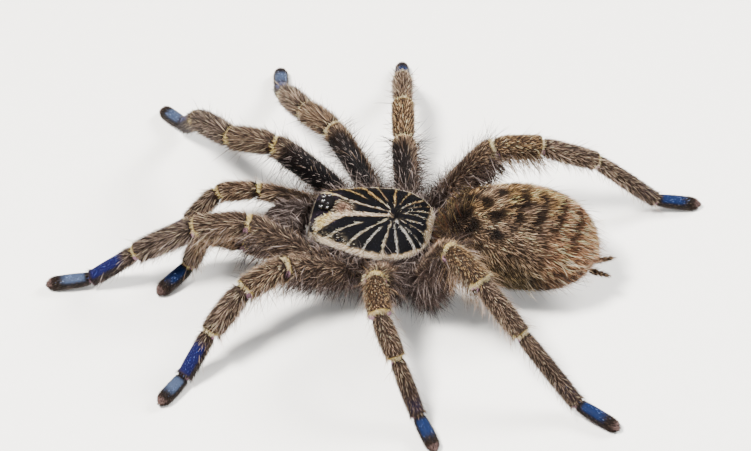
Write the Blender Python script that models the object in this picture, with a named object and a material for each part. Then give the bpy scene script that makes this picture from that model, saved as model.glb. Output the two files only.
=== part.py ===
"""Blue-footed baboon tarantula, a still life-size model standing on eight legs and two palps.

The head points along -Y and the animal's left is +X. The floor is z = 0. The body is laid out about
the fovea, the pit in the middle of the carapace, and the whole is moved at the end so that the
origin is the middle of its footprint. Each plate of the hard skin is a solid of its own, out to the
tips of the short coat, and thin cuts part it from the next.
"""

import math

import bmesh
import bpy
from mathutils import Matrix, Vector

MM = 0.001

# Driving dimensions. Every limb and body length is a share of the carapace's.
CARAPACE_LENGTH = 17.0 * MM
CARAPACE_HALF_WIDTH = 6.8 * MM
FOVEA_HEIGHT = 10.1 * MM
FOVEA_FROM_FRONT = 0.68  # share of the carapace's length
CARAPACE_UNDERSIDE = 7.0 * MM
CUT = 0.3 * MM  # the gap between one plate and the next
ROOT_NAME = "tarantula"

# Abdomen: an egg, fullest behind its middle and flattened below.
ABDOMEN_CENTRE = Vector((0.3, 17.4, 8.0)) * MM
ABDOMEN_HALF = Vector((8.5, 11.3, 7.3)) * MM
ABDOMEN_TURN = 4.0  # degrees, its tail towards the animal's left
ABDOMEN_TIP = 2.0  # degrees, its tail down
ABDOMEN_SWELL = 0.04  # how much fuller its tail end is than its middle
BELLY_FLATTENING = 0.93

LIMB_SIDES = 12
FOOT_SIDES = 10
FOOT_SINK = 0.12 * MM  # how far a foot's round underside would pass the floor, which cuts it flat

# Lengths of femur, patella, tibia, metatarsus and tarsus, as shares of the carapace's length.
# A palp has no metatarsus.
SEGMENTS = ("femur", "patella", "tibia", "metatarsus", "tarsus")
PALP_SEGMENTS = ("femur", "patella", "tibia", "tarsus")
LENGTH_SHARES = {
    "palp": (0.535, 0.335, 0.365, 0.335),
    "leg_1": (0.715, 0.435, 0.547, 0.488, 0.353),
    "leg_2": (0.618, 0.388, 0.424, 0.412, 0.288),
    "leg_3": (0.553, 0.353, 0.359, 0.482, 0.306),
    "leg_4": (0.682, 0.382, 0.500, 0.700, 0.365),
}
# Where each femur starts on the left side, at the end of its coxa: out, back and up from the
# point of the floor below the fovea.
HIPS = {
    "palp": Vector((4.75, -11.0, 4.8)) * MM,
    "leg_1": Vector((7.0, -8.7, 5.6)) * MM,
    "leg_2": Vector((8.1, -4.6, 5.6)) * MM,
    "leg_3": Vector((8.0, 0.3, 5.4)) * MM,
    "leg_4": Vector((8.2, 5.5, 5.5)) * MM,
}
# Half height and half width of each segment's fullest section.
THICKNESS = {
    "palp": {
        "femur": (1.50, 1.35),
        "patella": (1.45, 1.40),
        "tibia": (1.45, 1.35),
        "tarsus": (1.15, 1.25),
    },
    "leg_1": {
        "femur": (2.05, 1.80),
        "patella": (1.85, 1.75),
        "tibia": (1.80, 1.70),
        "metatarsus": (1.35, 1.30),
        "tarsus": (1.10, 1.20),
    },
    "leg_3": {
        "femur": (2.05, 1.90),
        "patella": (1.80, 1.80),
        "tibia": (1.60, 1.60),
        "metatarsus": (1.25, 1.25),
        "tarsus": (1.05, 1.15),
    },
}
THICKNESS["leg_2"] = THICKNESS["leg_1"]
THICKNESS["leg_4"] = THICKNESS["leg_3"]

# The stance. For each limb, the heading of its segments in degrees from straight out to the side,
# positive towards the tail, and how steeply all but the metatarsus rise. The metatarsus (a palp's
# tibia) slopes down by whatever sets the foot on the floor.
STANCE = {
    ("palp", "left"): {"heading": (-88, -84, -64, -40), "rise": (9, 18, None, -16)},
    ("leg_1", "left"): {"heading": (-90, -84, -79, -81, -78), "rise": (34, -11, -28, None, -8)},
    ("leg_2", "left"): {"heading": (-62, -44, -38, -37, -28), "rise": (27, -2, -31, None, -9)},
    ("leg_3", "left"): {"heading": (-4, 16, 34, 41, 34), "rise": (45, -6, -32, None, -14)},
    ("leg_4", "left"): {"heading": (53, 49, 56, 63, 67), "rise": (64, -14, -34, None, -11)},
    ("palp", "right"): {"heading": (-90, -106, -122, -120), "rise": (12, 4, None, -24)},
    ("leg_1", "right"): {"heading": (-88, -69, -46, -34, -47), "rise": (41, -18, -19, None, -14)},
    ("leg_2", "right"): {"heading": (-43, -46, -36, -20, -13), "rise": (24, -14, -20, None, -12)},
    ("leg_3", "right"): {"heading": (-11, -10, -10, -10, -10), "rise": (10, 18, -8, None, -14)},
    ("leg_4", "right"): {"heading": (76, 75, 76, 77, 78), "rise": (52, -7, -25, None, -12)},
}

# Outlines of one segment: (share of its length, share of its fullest section).
OUTLINES = {
    "femur": ((0.0, 0.80), (0.22, 0.95), (0.62, 1.0), (1.0, 0.90)),
    "patella": ((0.0, 0.90), (0.30, 0.97), (0.70, 1.0), (1.0, 0.93)),
    "tibia": ((0.0, 0.86), (0.30, 1.0), (0.75, 0.97), (1.0, 0.86)),
    "metatarsus": ((0.0, 0.92), (0.35, 1.0), (0.75, 0.97), (1.0, 0.88)),
    "tarsus": ((0.0, 0.84), (0.30, 1.0), (0.70, 1.0), (0.90, 0.86), (1.0, 0.52)),
}
# A segment runs on past its joints as a rounded end, and the cut through the joint trims it.
END_REACH = ((0.45, 0.90), (0.85, 0.58))  # (half heights past the joint, share of the end's section)

MATERIALS = {
    "leg_brown": ((0.150, 0.095, 0.062), 0.75, 0.0),
    "foot_blue": ((0.045, 0.085, 0.290), 0.35, 0.4),
    "foot_pale_blue": ((0.160, 0.270, 0.480), 0.35, 0.4),
    "shield_black_gold": ((0.085, 0.070, 0.045), 0.60, 0.0),
    "abdomen_brown": ((0.190, 0.115, 0.065), 0.80, 0.0),
    "jaw_grey_brown": ((0.110, 0.085, 0.070), 0.75, 0.0),
    "underside_dark": ((0.045, 0.035, 0.030), 0.75, 0.0),
    "fang_black": ((0.012, 0.010, 0.010), 0.20, 0.0),
    "eye_black": ((0.008, 0.007, 0.008), 0.12, 0.0),
}


def clear_scene():
    """Removes every object, so that the script starts from nothing."""
    for old in list(bpy.data.objects):
        bpy.data.objects.remove(old, do_unlink=True)


def make_materials():
    """One Principled material for each finish."""
    made = {}
    for name, (colour, roughness, metallic) in MATERIALS.items():
        material = bpy.data.materials.new(name)
        material.use_nodes = True
        shader = material.node_tree.nodes["Principled BSDF"]
        shader.inputs["Base Color"].default_value = (*colour, 1.0)
        shader.inputs["Roughness"].default_value = roughness
        shader.inputs["Metallic"].default_value = metallic
        made[name] = material
    return made


def ellipse_ring(x, half_height, half_width, sides):
    """A ring across the local X axis, Z up."""
    turns = (2 * math.pi * (i + 0.5) / sides for i in range(sides))
    return [Vector((x, half_width * math.cos(a), half_height * math.sin(a))) for a in turns]


def loft(rings):
    """A closed bmesh through rings of equally many points."""
    bm = bmesh.new()
    loops = [[bm.verts.new(p) for p in ring] for ring in rings]
    for near, far in zip(loops, loops[1:]):
        for i in range(len(near)):
            j = (i + 1) % len(near)
            bm.faces.new((near[i], near[j], far[j], far[i]))
    bm.faces.new(reversed(loops[0]))
    bm.faces.new(loops[-1])
    bmesh.ops.recalc_face_normals(bm, faces=bm.faces)
    return bm


def trim(bm, point, normal):
    """Cuts away what lies on the normal's side of the plane and closes the cut."""
    geometry = bm.verts[:] + bm.edges[:] + bm.faces[:]
    cut = bmesh.ops.bisect_plane(bm, geom=geometry, plane_co=point, plane_no=normal, clear_outer=True)
    rim = [part for part in cut["geom_cut"] if isinstance(part, bmesh.types.BMEdge)]
    if rim:
        bmesh.ops.contextual_create(bm, geom=rim)
    bmesh.ops.recalc_face_normals(bm, faces=bm.faces)


def to_object(name, bm, material, collection, frame=None):
    """Makes an object of a bmesh, placed by a matrix."""
    mesh = bpy.data.meshes.new(name)
    bm.to_mesh(mesh)
    bm.free()
    mesh.shade_smooth()
    mesh.set_sharp_from_angle(angle=math.radians(50))
    made = bpy.data.objects.new(name, mesh)
    made.data.materials.append(material)
    collection.objects.link(made)
    if frame is not None:
        made.matrix_world = frame
    return made


def seat_on(part, base, cutters):
    """Cuts a part back to a little off the skin of the piece that it grows from."""
    swollen = bpy.data.objects.new(f"{part.name}_seat", base.data.copy())
    swollen.matrix_world = base.matrix_world
    cutters.objects.link(swollen)
    hide(swollen)
    swell = swollen.modifiers.new("gap", "DISPLACE")
    swell.strength = CUT
    swell.mid_level = 0.0
    rest = part.modifiers.new("seat", "BOOLEAN")
    rest.operation = "DIFFERENCE"
    rest.object = swollen


def hide(helper):
    """Keeps a cutter or a piece to be joined out of renders."""
    helper.hide_render = True
    helper.display_type = "WIRE"


def join_to(part, helper):
    """Unites a helper with a part."""
    hide(helper)
    union = part.modifiers.new(helper.name, "BOOLEAN")
    union.operation = "UNION"
    union.object = helper


def direction(side, heading, rise):
    """Unit vector of a segment from its heading and rise in degrees."""
    out = 1 if side == "left" else -1
    h, r = math.radians(heading), math.radians(rise)
    return Vector((out * math.cos(r) * math.cos(h), math.cos(r) * math.sin(h), math.sin(r)))


def limb_names(limb):
    """The segments of a leg or palp."""
    return PALP_SEGMENTS if limb == "palp" else SEGMENTS


def foot_height(limb, length, rise):
    """Height of a foot's tip that sets its lowest point just below the floor."""
    rise = math.radians(rise)
    half_height = THICKNESS[limb]["tarsus"][0] * MM
    below = []
    for at, share in OUTLINES["tarsus"]:
        below.append(half_height * share * math.cos(rise) + (1 - at) * length * math.sin(rise))
    return max(below) - FOOT_SINK


def limb_skeleton(limb, side):
    """The joints of a limb and its segments' directions, from hip to foot."""
    lengths = [share * CARAPACE_LENGTH for share in LENGTH_SHARES[limb]]
    stance = STANCE[limb, side]
    hip = HIPS[limb].copy()
    if side == "right":
        hip.x = -hip.x
    joints, aims = [hip], []
    foot_rise = stance["rise"][-1]
    ankle = foot_height(limb, lengths[-1], foot_rise) - lengths[-1] * math.sin(math.radians(foot_rise))
    for length, heading, rise in zip(lengths, stance["heading"], stance["rise"]):
        if rise is None:
            rise = math.degrees(math.asin((ankle - joints[-1].z) / length))
        aims.append(direction(side, heading, rise))
        joints.append(joints[-1] + aims[-1] * length)
    return joints, aims


def segment_frame(start, aim):
    """Matrix whose X axis is the segment's and whose Z axis is its back."""
    across = Vector((0, 0, 1)).cross(aim).normalized()
    back = aim.cross(across)
    turn = Matrix((aim, across, back)).transposed().to_4x4()
    return Matrix.Translation(start) @ turn


def segment_rings(kind, length, half_height, half_width, sides):
    """The rings of a segment, with rounded ends that run past its joints."""
    outline = OUTLINES[kind]
    stations = [(-reach * half_height, outline[0][1] * share) for reach, share in reversed(END_REACH)]
    stations += [(at * length, share) for at, share in outline]
    if kind != "tarsus":
        stations += [(length + reach * half_height, outline[-1][1] * share) for reach, share in END_REACH]
    return [ellipse_ring(x, half_height * share, half_width * share, sides) for x, share in stations]


def cut_at_joint(bm, frame, joint, before, after, keep_before):
    """Trims a segment by half the gap short of the plane that halves the bend at a joint."""
    normal = (before + after).normalized() * (1 if keep_before else -1)
    into_part = frame.inverted()
    turn_into_part = into_part.to_3x3()
    trim(bm, into_part @ (joint - normal * CUT / 2), turn_into_part @ normal)


def build_limb(limb, side, coxa_aim, materials, collection):
    """The segments of one leg or palp, each cut at its joints."""
    joints, aims = limb_skeleton(limb, side)
    names = limb_names(limb)
    for i, kind in enumerate(names):
        half_height, half_width = (value * MM for value in THICKNESS[limb][kind])
        sides = FOOT_SIDES if kind in ("metatarsus", "tarsus") or limb == "palp" else LIMB_SIDES
        length = (joints[i + 1] - joints[i]).length
        frame = segment_frame(joints[i], aims[i])
        bm = loft(segment_rings(kind, length, half_height, half_width, sides))
        before = aims[i - 1] if i else coxa_aim
        cut_at_joint(bm, frame, joints[i], before, aims[i], keep_before=False)
        if kind == "tarsus":
            into_part = frame.inverted()
            trim(bm, into_part @ Vector((0, 0, 0)), into_part.to_3x3() @ Vector((0, 0, -1)))
        else:
            cut_at_joint(bm, frame, joints[i + 1], aims[i], aims[i + 1], keep_before=True)
        finish = {"metatarsus": "foot_blue", "tarsus": "foot_pale_blue"}.get(kind, "leg_brown")
        to_object(f"{limb}_{side}_{kind}", bm, materials[finish], collection, frame)


def body_y(share):
    """A place along the carapace, from 0 at its front edge to 1 at its rear."""
    return (share - FOVEA_FROM_FRONT) * CARAPACE_LENGTH


# Carapace outline: share of its length, share of its half width, and height of its back above
# the underside as a share of the fovea's.
SHIELD_OUTLINE = (
    (0.000, 0.46, 0.42),
    (0.025, 0.60, 0.86),
    (0.090, 0.69, 1.10),
    (0.190, 0.77, 1.19),
    (0.330, 0.88, 1.16),
    (0.480, 0.97, 1.05),
    (0.620, 1.00, 1.00),
    (0.760, 0.95, 0.93),
    (0.880, 0.80, 0.79),
    (0.960, 0.60, 0.58),
    (1.000, 0.38, 0.32),
)
SHIELD_SIDES = 13  # points across the back, margin to margin
RIM_SHARE = 0.16  # thickness of the shield's margin, as a share of the back's height
DOME_POWER = 1.05  # over 1 makes the back's shoulders lower than a half round's
UNDERSIDE_POINTS = (-0.93, 0.0, 0.93)  # shares of the half width, inside the margin
FOVEA_PIT_HALF = Vector((1.3, 0.5, 0.6)) * MM
FOVEA_PIT_RAISE = 0.25 * MM


def shield_ring(share, width_share, height_share):
    """A D-shaped ring across the carapace: a flat underside and a domed back."""
    half_width = CARAPACE_HALF_WIDTH * width_share
    height = (FOVEA_HEIGHT - CARAPACE_UNDERSIDE) * height_share
    ring = []
    for i in range(SHIELD_SIDES):
        turn = math.pi * i / (SHIELD_SIDES - 1)
        dome = RIM_SHARE + (1 - RIM_SHARE) * math.sin(turn) ** DOME_POWER
        back = CARAPACE_UNDERSIDE + height * dome
        ring.append(Vector((half_width * math.cos(turn), body_y(share), back)))
    ring += [Vector((x * half_width, body_y(share), CARAPACE_UNDERSIDE)) for x in UNDERSIDE_POINTS]
    return ring


def build_carapace(materials, collection, cutters):
    """The shield over the head and legs' roots, with the fovea's pit cut across it."""
    shield = to_object(
        "carapace",
        loft([shield_ring(*station) for station in SHIELD_OUTLINE]),
        materials["shield_black_gold"],
        collection,
    )
    bm = bmesh.new()
    bmesh.ops.create_uvsphere(bm, u_segments=10, v_segments=6, radius=1.0)
    bmesh.ops.scale(bm, vec=FOVEA_PIT_HALF, verts=bm.verts)
    pit = to_object("fovea_cutter", bm, materials["shield_black_gold"], cutters)
    pit.location = (0, 0, FOVEA_HEIGHT + FOVEA_PIT_RAISE)
    hide(pit)
    carve = shield.modifiers.new("fovea", "BOOLEAN")
    carve.operation = "DIFFERENCE"
    carve.object = pit
    return shield


# Eyes: out from the middle, back from the tubercle's middle, up, and radius, on the left side.
EYES = (
    (0.42, -0.36, 0.66, 0.33),
    (1.06, -0.58, 0.24, 0.31),
    (0.74, 0.26, 0.60, 0.22),
    (1.18, 0.30, 0.32, 0.27),
)
TUBERCLE_CENTRE = Vector((0, body_y(0.135), FOVEA_HEIGHT + 0.40 * MM))
TUBERCLE_HALF = Vector((1.38, 1.05, 0.85)) * MM


def build_eye_tubercle(shield, materials, collection, cutters):
    """The low mound that carries the eight eyes, seated on the carapace."""
    bm = bmesh.new()
    bmesh.ops.create_uvsphere(bm, u_segments=16, v_segments=10, radius=1.0)
    bmesh.ops.scale(bm, vec=TUBERCLE_HALF, verts=bm.verts)
    mound = to_object("eye_tubercle", bm, materials["eye_black"], collection)
    mound.location = TUBERCLE_CENTRE

    eyes = bmesh.new()
    for out, back, up, radius in EYES:
        for side in (-1, 1):
            at = TUBERCLE_CENTRE + Vector((side * out, back, up)) * MM
            matrix = Matrix.Translation(at)
            bmesh.ops.create_uvsphere(eyes, u_segments=8, v_segments=5, radius=radius * MM, matrix=matrix)
    eye_set = to_object("eyes_helper", eyes, materials["eye_black"], cutters)
    join_to(mound, eye_set)
    mound.modifiers[eye_set.name].use_self = True
    seat_on(mound, shield, cutters)


# Underside: the block over the sternum, share of the carapace's length, half width, bottom and top.
CORE_OUTLINE = (
    (0.02, 2.3, 4.2, 6.6),
    (0.18, 3.4, 3.0, 6.7),
    (0.45, 4.6, 2.5, 6.7),
    (0.72, 4.8, 2.5, 6.7),
    (0.92, 3.4, 3.0, 6.7),
    (1.02, 1.7, 4.2, 6.5),
)
CORE_SIDES = 12
COXA_HALF_HEIGHT = {
    "palp": 1.30 * MM,
    "leg_1": 1.50 * MM,
    "leg_2": 1.50 * MM,
    "leg_3": 1.50 * MM,
    "leg_4": 1.55 * MM,
}
COXA_OUTLINE = ((0.0, 0.6), (0.55, 1.0), (1.0, 0.96))
COXA_END = 0.8  # the coxa's round end, as a share of its half height
COXA_CROWDING = 0.62  # how near the middle of the sternum a coxa starts, as a share of its hip's distance
STERNUM_MIDDLE = 0.52  # share of the carapace's length
COXA_ROOT = Vector((1.6, 0.0, 4.3)) * MM  # out from the middle line and up
PEDICEL_RADIUS = 0.9 * MM
PEDICEL_HEIGHT = 5.6 * MM
PEDICEL_LENGTH = 6.0 * MM


def coxa_root(limb):
    """Inner end of a coxa on the left side, nearer the middle of the sternum than its hip."""
    middle = body_y(STERNUM_MIDDLE)
    return Vector((COXA_ROOT.x, middle + COXA_CROWDING * (HIPS[limb].y - middle), COXA_ROOT.z))


def coxa_aim(limb, side):
    """Direction of a coxa, outwards."""
    aim = (HIPS[limb] - coxa_root(limb)).normalized()
    if side == "right":
        aim.x = -aim.x
    return aim


def core_ring(share, half_width, bottom, top):
    """An oval ring across the block over the sternum."""
    middle, half_height = (bottom + top) / 2 * MM, (top - bottom) / 2 * MM
    turns = (2 * math.pi * i / CORE_SIDES for i in range(CORE_SIDES))
    half_width *= MM
    return [
        Vector((half_width * math.cos(a), body_y(share), middle + half_height * math.sin(a)))
        for a in turns
    ]


def build_underside(abdomen, materials, collection, cutters):
    """Sternum, coxae and pedicel as one solid, the coxae cut where the femora start."""
    core = to_object(
        "sternum_and_coxae",
        loft([core_ring(*station) for station in CORE_OUTLINE]),
        materials["underside_dark"],
        collection,
    )
    for limb, side in STANCE:
        root = coxa_root(limb)
        if side == "right":
            root.x = -root.x
        aim = coxa_aim(limb, side)
        joints, aims = limb_skeleton(limb, side)
        length = (joints[0] - root).length
        half = COXA_HALF_HEIGHT[limb]
        frame = segment_frame(root, aim)
        rings = []
        for at, share in COXA_OUTLINE:
            rings.append(ellipse_ring(at * length, half * share, half * share, FOOT_SIDES))
        end = COXA_END * half
        rings.append(ellipse_ring(length + end, end, end, FOOT_SIDES))
        bm = loft(rings)
        cut_at_joint(bm, frame, joints[0], aim, aims[0], keep_before=True)
        name = f"coxa_helper_{limb}_{side}"
        join_to(core, to_object(name, bm, materials["underside_dark"], cutters, frame))
    bm = bmesh.new()
    bmesh.ops.create_cone(
        bm,
        cap_ends=True,
        segments=12,
        radius1=PEDICEL_RADIUS,
        radius2=PEDICEL_RADIUS,
        depth=PEDICEL_LENGTH,
    )
    stalk = to_object("pedicel_helper", bm, materials["underside_dark"], cutters)
    stalk.rotation_euler = (math.radians(90), 0, 0)
    stalk.location = (0, body_y(1.0) + PEDICEL_LENGTH / 4, PEDICEL_HEIGHT)
    join_to(core, stalk)
    seat_on(core, abdomen, cutters)


# Chelicera: place along the body from the fovea, height, half height and half width of each ring.
JAW_OUTLINE = (
    (-11.9, 5.8, 1.65, 1.30),
    (-12.8, 6.1, 2.10, 1.50),
    (-14.5, 6.1, 2.30, 1.58),
    (-16.4, 5.6, 2.20, 1.54),
    (-17.9, 4.6, 1.80, 1.35),
    (-18.9, 3.6, 1.05, 0.95),
)
JAW_OUT = 1.72 * MM  # middle of a chelicera from the middle line
# Back, height and radius along a fang, folded under its chelicera.
FANG_POINTS = (
    (-18.35, 2.40, 0.46),
    (-18.1, 1.35, 0.45),
    (-17.3, 0.95, 0.40),
    (-16.2, 0.85, 0.31),
    (-15.1, 1.00, 0.20),
    (-14.2, 1.40, 0.09),
)


def jaw_ring(back, height, half_height, half_width, out):
    """An oval ring across a chelicera, square to the floor."""
    turns = (2 * math.pi * (i + 0.5) / LIMB_SIDES for i in range(LIMB_SIDES))
    return [
        Vector((out + half_width * MM * math.cos(a), back * MM, (height + half_height * math.sin(a)) * MM))
        for a in turns
    ]


def build_jaws(materials, collection):
    """The two chelicerae, and a fang folded back under each."""
    for side, sign in (("left", 1), ("right", -1)):
        rings = [jaw_ring(*station, sign * JAW_OUT) for station in JAW_OUTLINE]
        to_object(f"chelicera_{side}", loft(rings), materials["jaw_grey_brown"], collection)
        curve = bpy.data.curves.new(f"fang_{side}", "CURVE")
        curve.dimensions = "3D"
        curve.bevel_depth = 1.0
        curve.bevel_resolution = 2
        curve.use_fill_caps = True
        spline = curve.splines.new("POLY")
        spline.points.add(len(FANG_POINTS) - 1)
        for point, (back, height, radius) in zip(spline.points, FANG_POINTS):
            point.co = (sign * JAW_OUT, back * MM, height * MM, 1.0)
            point.radius = radius * MM
        fang = bpy.data.objects.new(f"fang_{side}", curve)
        fang.data.materials.append(materials["fang_black"])
        collection.objects.link(fang)


def build_abdomen(materials, collection):
    """The egg of the abdomen, from a sphere that narrows towards the waist."""
    bm = bmesh.new()
    bmesh.ops.create_uvsphere(bm, u_segments=20, v_segments=14, radius=1.0)
    bmesh.ops.rotate(bm, matrix=Matrix.Rotation(math.radians(90), 3, "X"), verts=bm.verts)
    for vert in bm.verts:
        along = vert.co.y  # -1 at the waist, 1 at the tail
        fullness = 1.0 + ABDOMEN_SWELL * along
        vert.co.x *= fullness
        vert.co.z *= fullness * (BELLY_FLATTENING if vert.co.z < 0 else 1.0)
    bmesh.ops.scale(bm, vec=ABDOMEN_HALF, verts=bm.verts)
    egg = to_object("abdomen", bm, materials["abdomen_brown"], collection)
    turn = Matrix.Rotation(math.radians(-ABDOMEN_TURN), 4, "Z")
    tip = Matrix.Rotation(math.radians(-ABDOMEN_TIP), 4, "X")
    egg.matrix_world = Matrix.Translation(ABDOMEN_CENTRE) @ turn @ tip
    return egg


# Spinneret: (mm from its root, radius in mm), three joints long.
SPINNERET_OUTLINE = (
    (-1.0, 0.50),
    (0.8, 0.54),
    (1.1, 0.46),
    (1.7, 0.48),
    (2.0, 0.42),
    (2.6, 0.36),
    (2.9, 0.25),
)
SPINNERET_ROOT = Vector((0.9, 9.9, -3.0)) * MM  # out, back and up from the abdomen's middle, inside it
SPINNERET_SPREAD = 16.0  # degrees out from the middle line
SPINNERET_RISE = 8.0


def build_spinnerets(abdomen, materials, collection, cutters):
    """The two long spinnerets that stand out behind the abdomen."""
    for side, sign in (("left", 1), ("right", -1)):
        rings = [ellipse_ring(at * MM, radius * MM, radius * MM, 8) for at, radius in SPINNERET_OUTLINE]
        aim = direction(side, 90 - SPINNERET_SPREAD, SPINNERET_RISE)
        place = Vector((sign * SPINNERET_ROOT.x, SPINNERET_ROOT.y, SPINNERET_ROOT.z))
        frame = abdomen.matrix_world @ segment_frame(place, aim)
        tube = to_object(f"spinneret_{side}", loft(rings), materials["underside_dark"], collection, frame)
        seat_on(tube, abdomen, cutters)


def centre_on_floor(collection):
    """Moves the model so that the origin is the middle of its footprint, on the floor."""
    bpy.context.view_layer.update()
    graph = bpy.context.evaluated_depsgraph_get()
    corners = []
    for part in collection.objects:
        evaluated = part.evaluated_get(graph)
        mesh = evaluated.to_mesh()
        corners += [evaluated.matrix_world @ vert.co for vert in mesh.vertices]
        evaluated.to_mesh_clear()
    middle = [(min(c[i] for c in corners) + max(c[i] for c in corners)) / 2 for i in range(2)]
    return Vector((-middle[0], -middle[1], 0.0))


def main():
    """Builds the animal from the body outwards."""
    clear_scene()
    materials = make_materials()
    parts = bpy.data.collections.new("Tarantula")
    cutters = bpy.data.collections.new("Cutters")
    bpy.context.scene.collection.children.link(parts)
    bpy.context.scene.collection.children.link(cutters)
    shield = build_carapace(materials, parts, cutters)
    build_eye_tubercle(shield, materials, parts, cutters)
    abdomen = build_abdomen(materials, parts)
    build_underside(abdomen, materials, parts, cutters)
    build_jaws(materials, parts)
    build_spinnerets(abdomen, materials, parts, cutters)
    for limb, side in STANCE:
        build_limb(limb, side, coxa_aim(limb, side), materials, parts)
    root = bpy.data.objects.new(ROOT_NAME, None)
    bpy.context.scene.collection.objects.link(root)
    shift = centre_on_floor(parts)
    for part in list(parts.objects) + list(cutters.objects):
        part.parent = root
    root.location = shift


main()
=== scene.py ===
"""Blue-footed baboon tarantula: skin, coat, eyes and claws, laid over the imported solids.

Sizes are in millimetres and become metres where a mesh is made. The head points along -Y, the
animal's left is +X and the floor is z = 0. Every place is measured from the solids: each limb's
centre line from cross-sections of its segments, the shield, jaws and abdomen from their boxes.
"""

from __future__ import annotations

import logging
import math
from dataclasses import dataclass
from enum import Enum

import bpy
import numpy as np
from mathutils import Matrix, Vector

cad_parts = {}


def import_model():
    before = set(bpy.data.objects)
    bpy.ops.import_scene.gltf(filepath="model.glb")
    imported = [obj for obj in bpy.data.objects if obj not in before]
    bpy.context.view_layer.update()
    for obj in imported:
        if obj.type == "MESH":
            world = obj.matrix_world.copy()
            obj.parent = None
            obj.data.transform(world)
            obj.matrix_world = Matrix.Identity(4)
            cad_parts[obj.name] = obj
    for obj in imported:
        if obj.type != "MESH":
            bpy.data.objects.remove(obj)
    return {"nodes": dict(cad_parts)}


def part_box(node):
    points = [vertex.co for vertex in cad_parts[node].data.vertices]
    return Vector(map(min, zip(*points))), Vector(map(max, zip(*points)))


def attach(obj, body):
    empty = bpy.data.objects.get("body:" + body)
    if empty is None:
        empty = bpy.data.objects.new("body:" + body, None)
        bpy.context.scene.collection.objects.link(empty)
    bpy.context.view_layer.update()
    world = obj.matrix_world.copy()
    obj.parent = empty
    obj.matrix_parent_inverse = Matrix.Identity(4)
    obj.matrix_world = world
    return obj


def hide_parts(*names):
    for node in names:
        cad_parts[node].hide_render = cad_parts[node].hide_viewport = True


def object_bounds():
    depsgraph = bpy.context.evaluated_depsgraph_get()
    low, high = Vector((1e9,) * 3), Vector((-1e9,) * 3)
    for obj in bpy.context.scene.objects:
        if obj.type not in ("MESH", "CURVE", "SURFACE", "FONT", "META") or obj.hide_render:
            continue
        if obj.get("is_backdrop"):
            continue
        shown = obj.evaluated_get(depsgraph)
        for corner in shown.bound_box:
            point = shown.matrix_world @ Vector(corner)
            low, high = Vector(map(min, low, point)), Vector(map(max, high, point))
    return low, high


LOG = logging.getLogger("tarantula")
MM = 0.001
BODY = "root"
UP = np.array([0.0, 0.0, 1.0])
SEED = 7


def linear(colour: str) -> np.ndarray:
    """Turns an sRGB hex colour to linear light.

    Args:
        colour: Six hex digits after a hash.

    Returns:
        Three linear values.
    """
    values = np.array([int(colour[i : i + 2], 16) for i in (1, 3, 5)]) / 255.0
    return np.where(values <= 0.04045, values / 12.92, ((values + 0.055) / 1.055) ** 2.4)


class Tone(Enum):
    """Colours of cuticle and hairs, as sRGB hex."""

    CUTICLE = "#150f0c"
    CUTICLE_BLACK = "#080707"
    CUTICLE_RED = "#2e1812"
    MEMBRANE = "#80606f"
    RIM_GOLD = "#cdb068"
    UMBER = "#241912"
    BROWN = "#5f4633"
    TAN = "#a08264"
    DUSK = "#40342f"
    CREAM = "#dcc7a6"
    WHITE = "#ece2d2"
    GREY = "#9a8b85"
    GOLD = "#c99c60"
    OLIVE = "#b8a85a"
    PINK = "#c39a82"
    MAUVE = "#332a35"
    RUST = "#8a4c2c"
    BLACK = "#0b0909"
    BLUE_BLACK = "#0a0b14"
    VIOLET = "#363a92"
    BLUE = "#29498f"
    PALE_BLUE = "#8398c4"
    TUFT = "#7d6560"
    ORANGE = "#b9873a"
    BOARD = "#e9e6e0"

    @property
    def rgb(self) -> np.ndarray:
        """The colour in linear light."""
        return linear(self.value)


class Side(Enum):
    """Which side of the animal a limb is on."""

    LEFT = "left"
    RIGHT = "right"

    @property
    def sign(self) -> int:
        """1 on the left, where X is positive, and -1 on the right."""
        return 1 if self is Side.LEFT else -1


class Slot(Enum):
    """The record's material slots."""

    LEG = "leg_coat"
    FOOT = "foot_blue"
    METATARSUS = "metatarsus_violet"
    SHIELD = "carapace_cuticle"
    ABDOMEN = "abdomen_coat"
    JAW = "jaw_coat"
    UNDERSIDE = "underside_cuticle"
    FANG = "fang_gloss"
    EYE = "eye_gloss"


# Numbers and shapes.


def unit(vectors: np.ndarray) -> np.ndarray:
    """The same vectors at length one."""
    return vectors / np.maximum(np.linalg.norm(vectors, axis=-1, keepdims=True), 1e-12)


def ramp(low: float, high: float, values: np.ndarray) -> np.ndarray:
    """A smooth step from 0 at low to 1 at high."""
    share = np.clip((values - low) / (high - low), 0.0, 1.0)
    return share * share * (3 - 2 * share)


def blend(first: np.ndarray, second: np.ndarray, share: np.ndarray | float) -> np.ndarray:
    """Mixes colours.

    Args:
        first: One colour, or one for each point.
        second: The colour that the mix goes to.
        share: 0 for the first and 1 for the second, one for each point.

    Returns:
        One colour for each point.
    """
    share = np.asarray(share, float)[..., None]
    return first * (1 - share) + second * share


def through(places: np.ndarray, at: np.ndarray, values: np.ndarray) -> np.ndarray:
    """A smooth curve through a few values, with no overshoot at its ends.

    Args:
        places: Where the curve is read.
        at: The places of the values, rising.
        values: The values.

    Returns:
        The curve at each place.
    """
    at, values = np.asarray(at, float), np.asarray(values, float)
    slopes = np.gradient(values, at)
    places = np.clip(places, at[0], at[-1])
    i = np.clip(np.searchsorted(at, places) - 1, 0, len(at) - 2)
    step = at[i + 1] - at[i]
    t = (places - at[i]) / step
    rise = values[i + 1] - values[i]
    a = slopes[i] * step - rise
    b = rise - slopes[i + 1] * step
    return values[i] + t * rise + t * (1 - t) * (a * (1 - t) + b * t)


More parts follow.
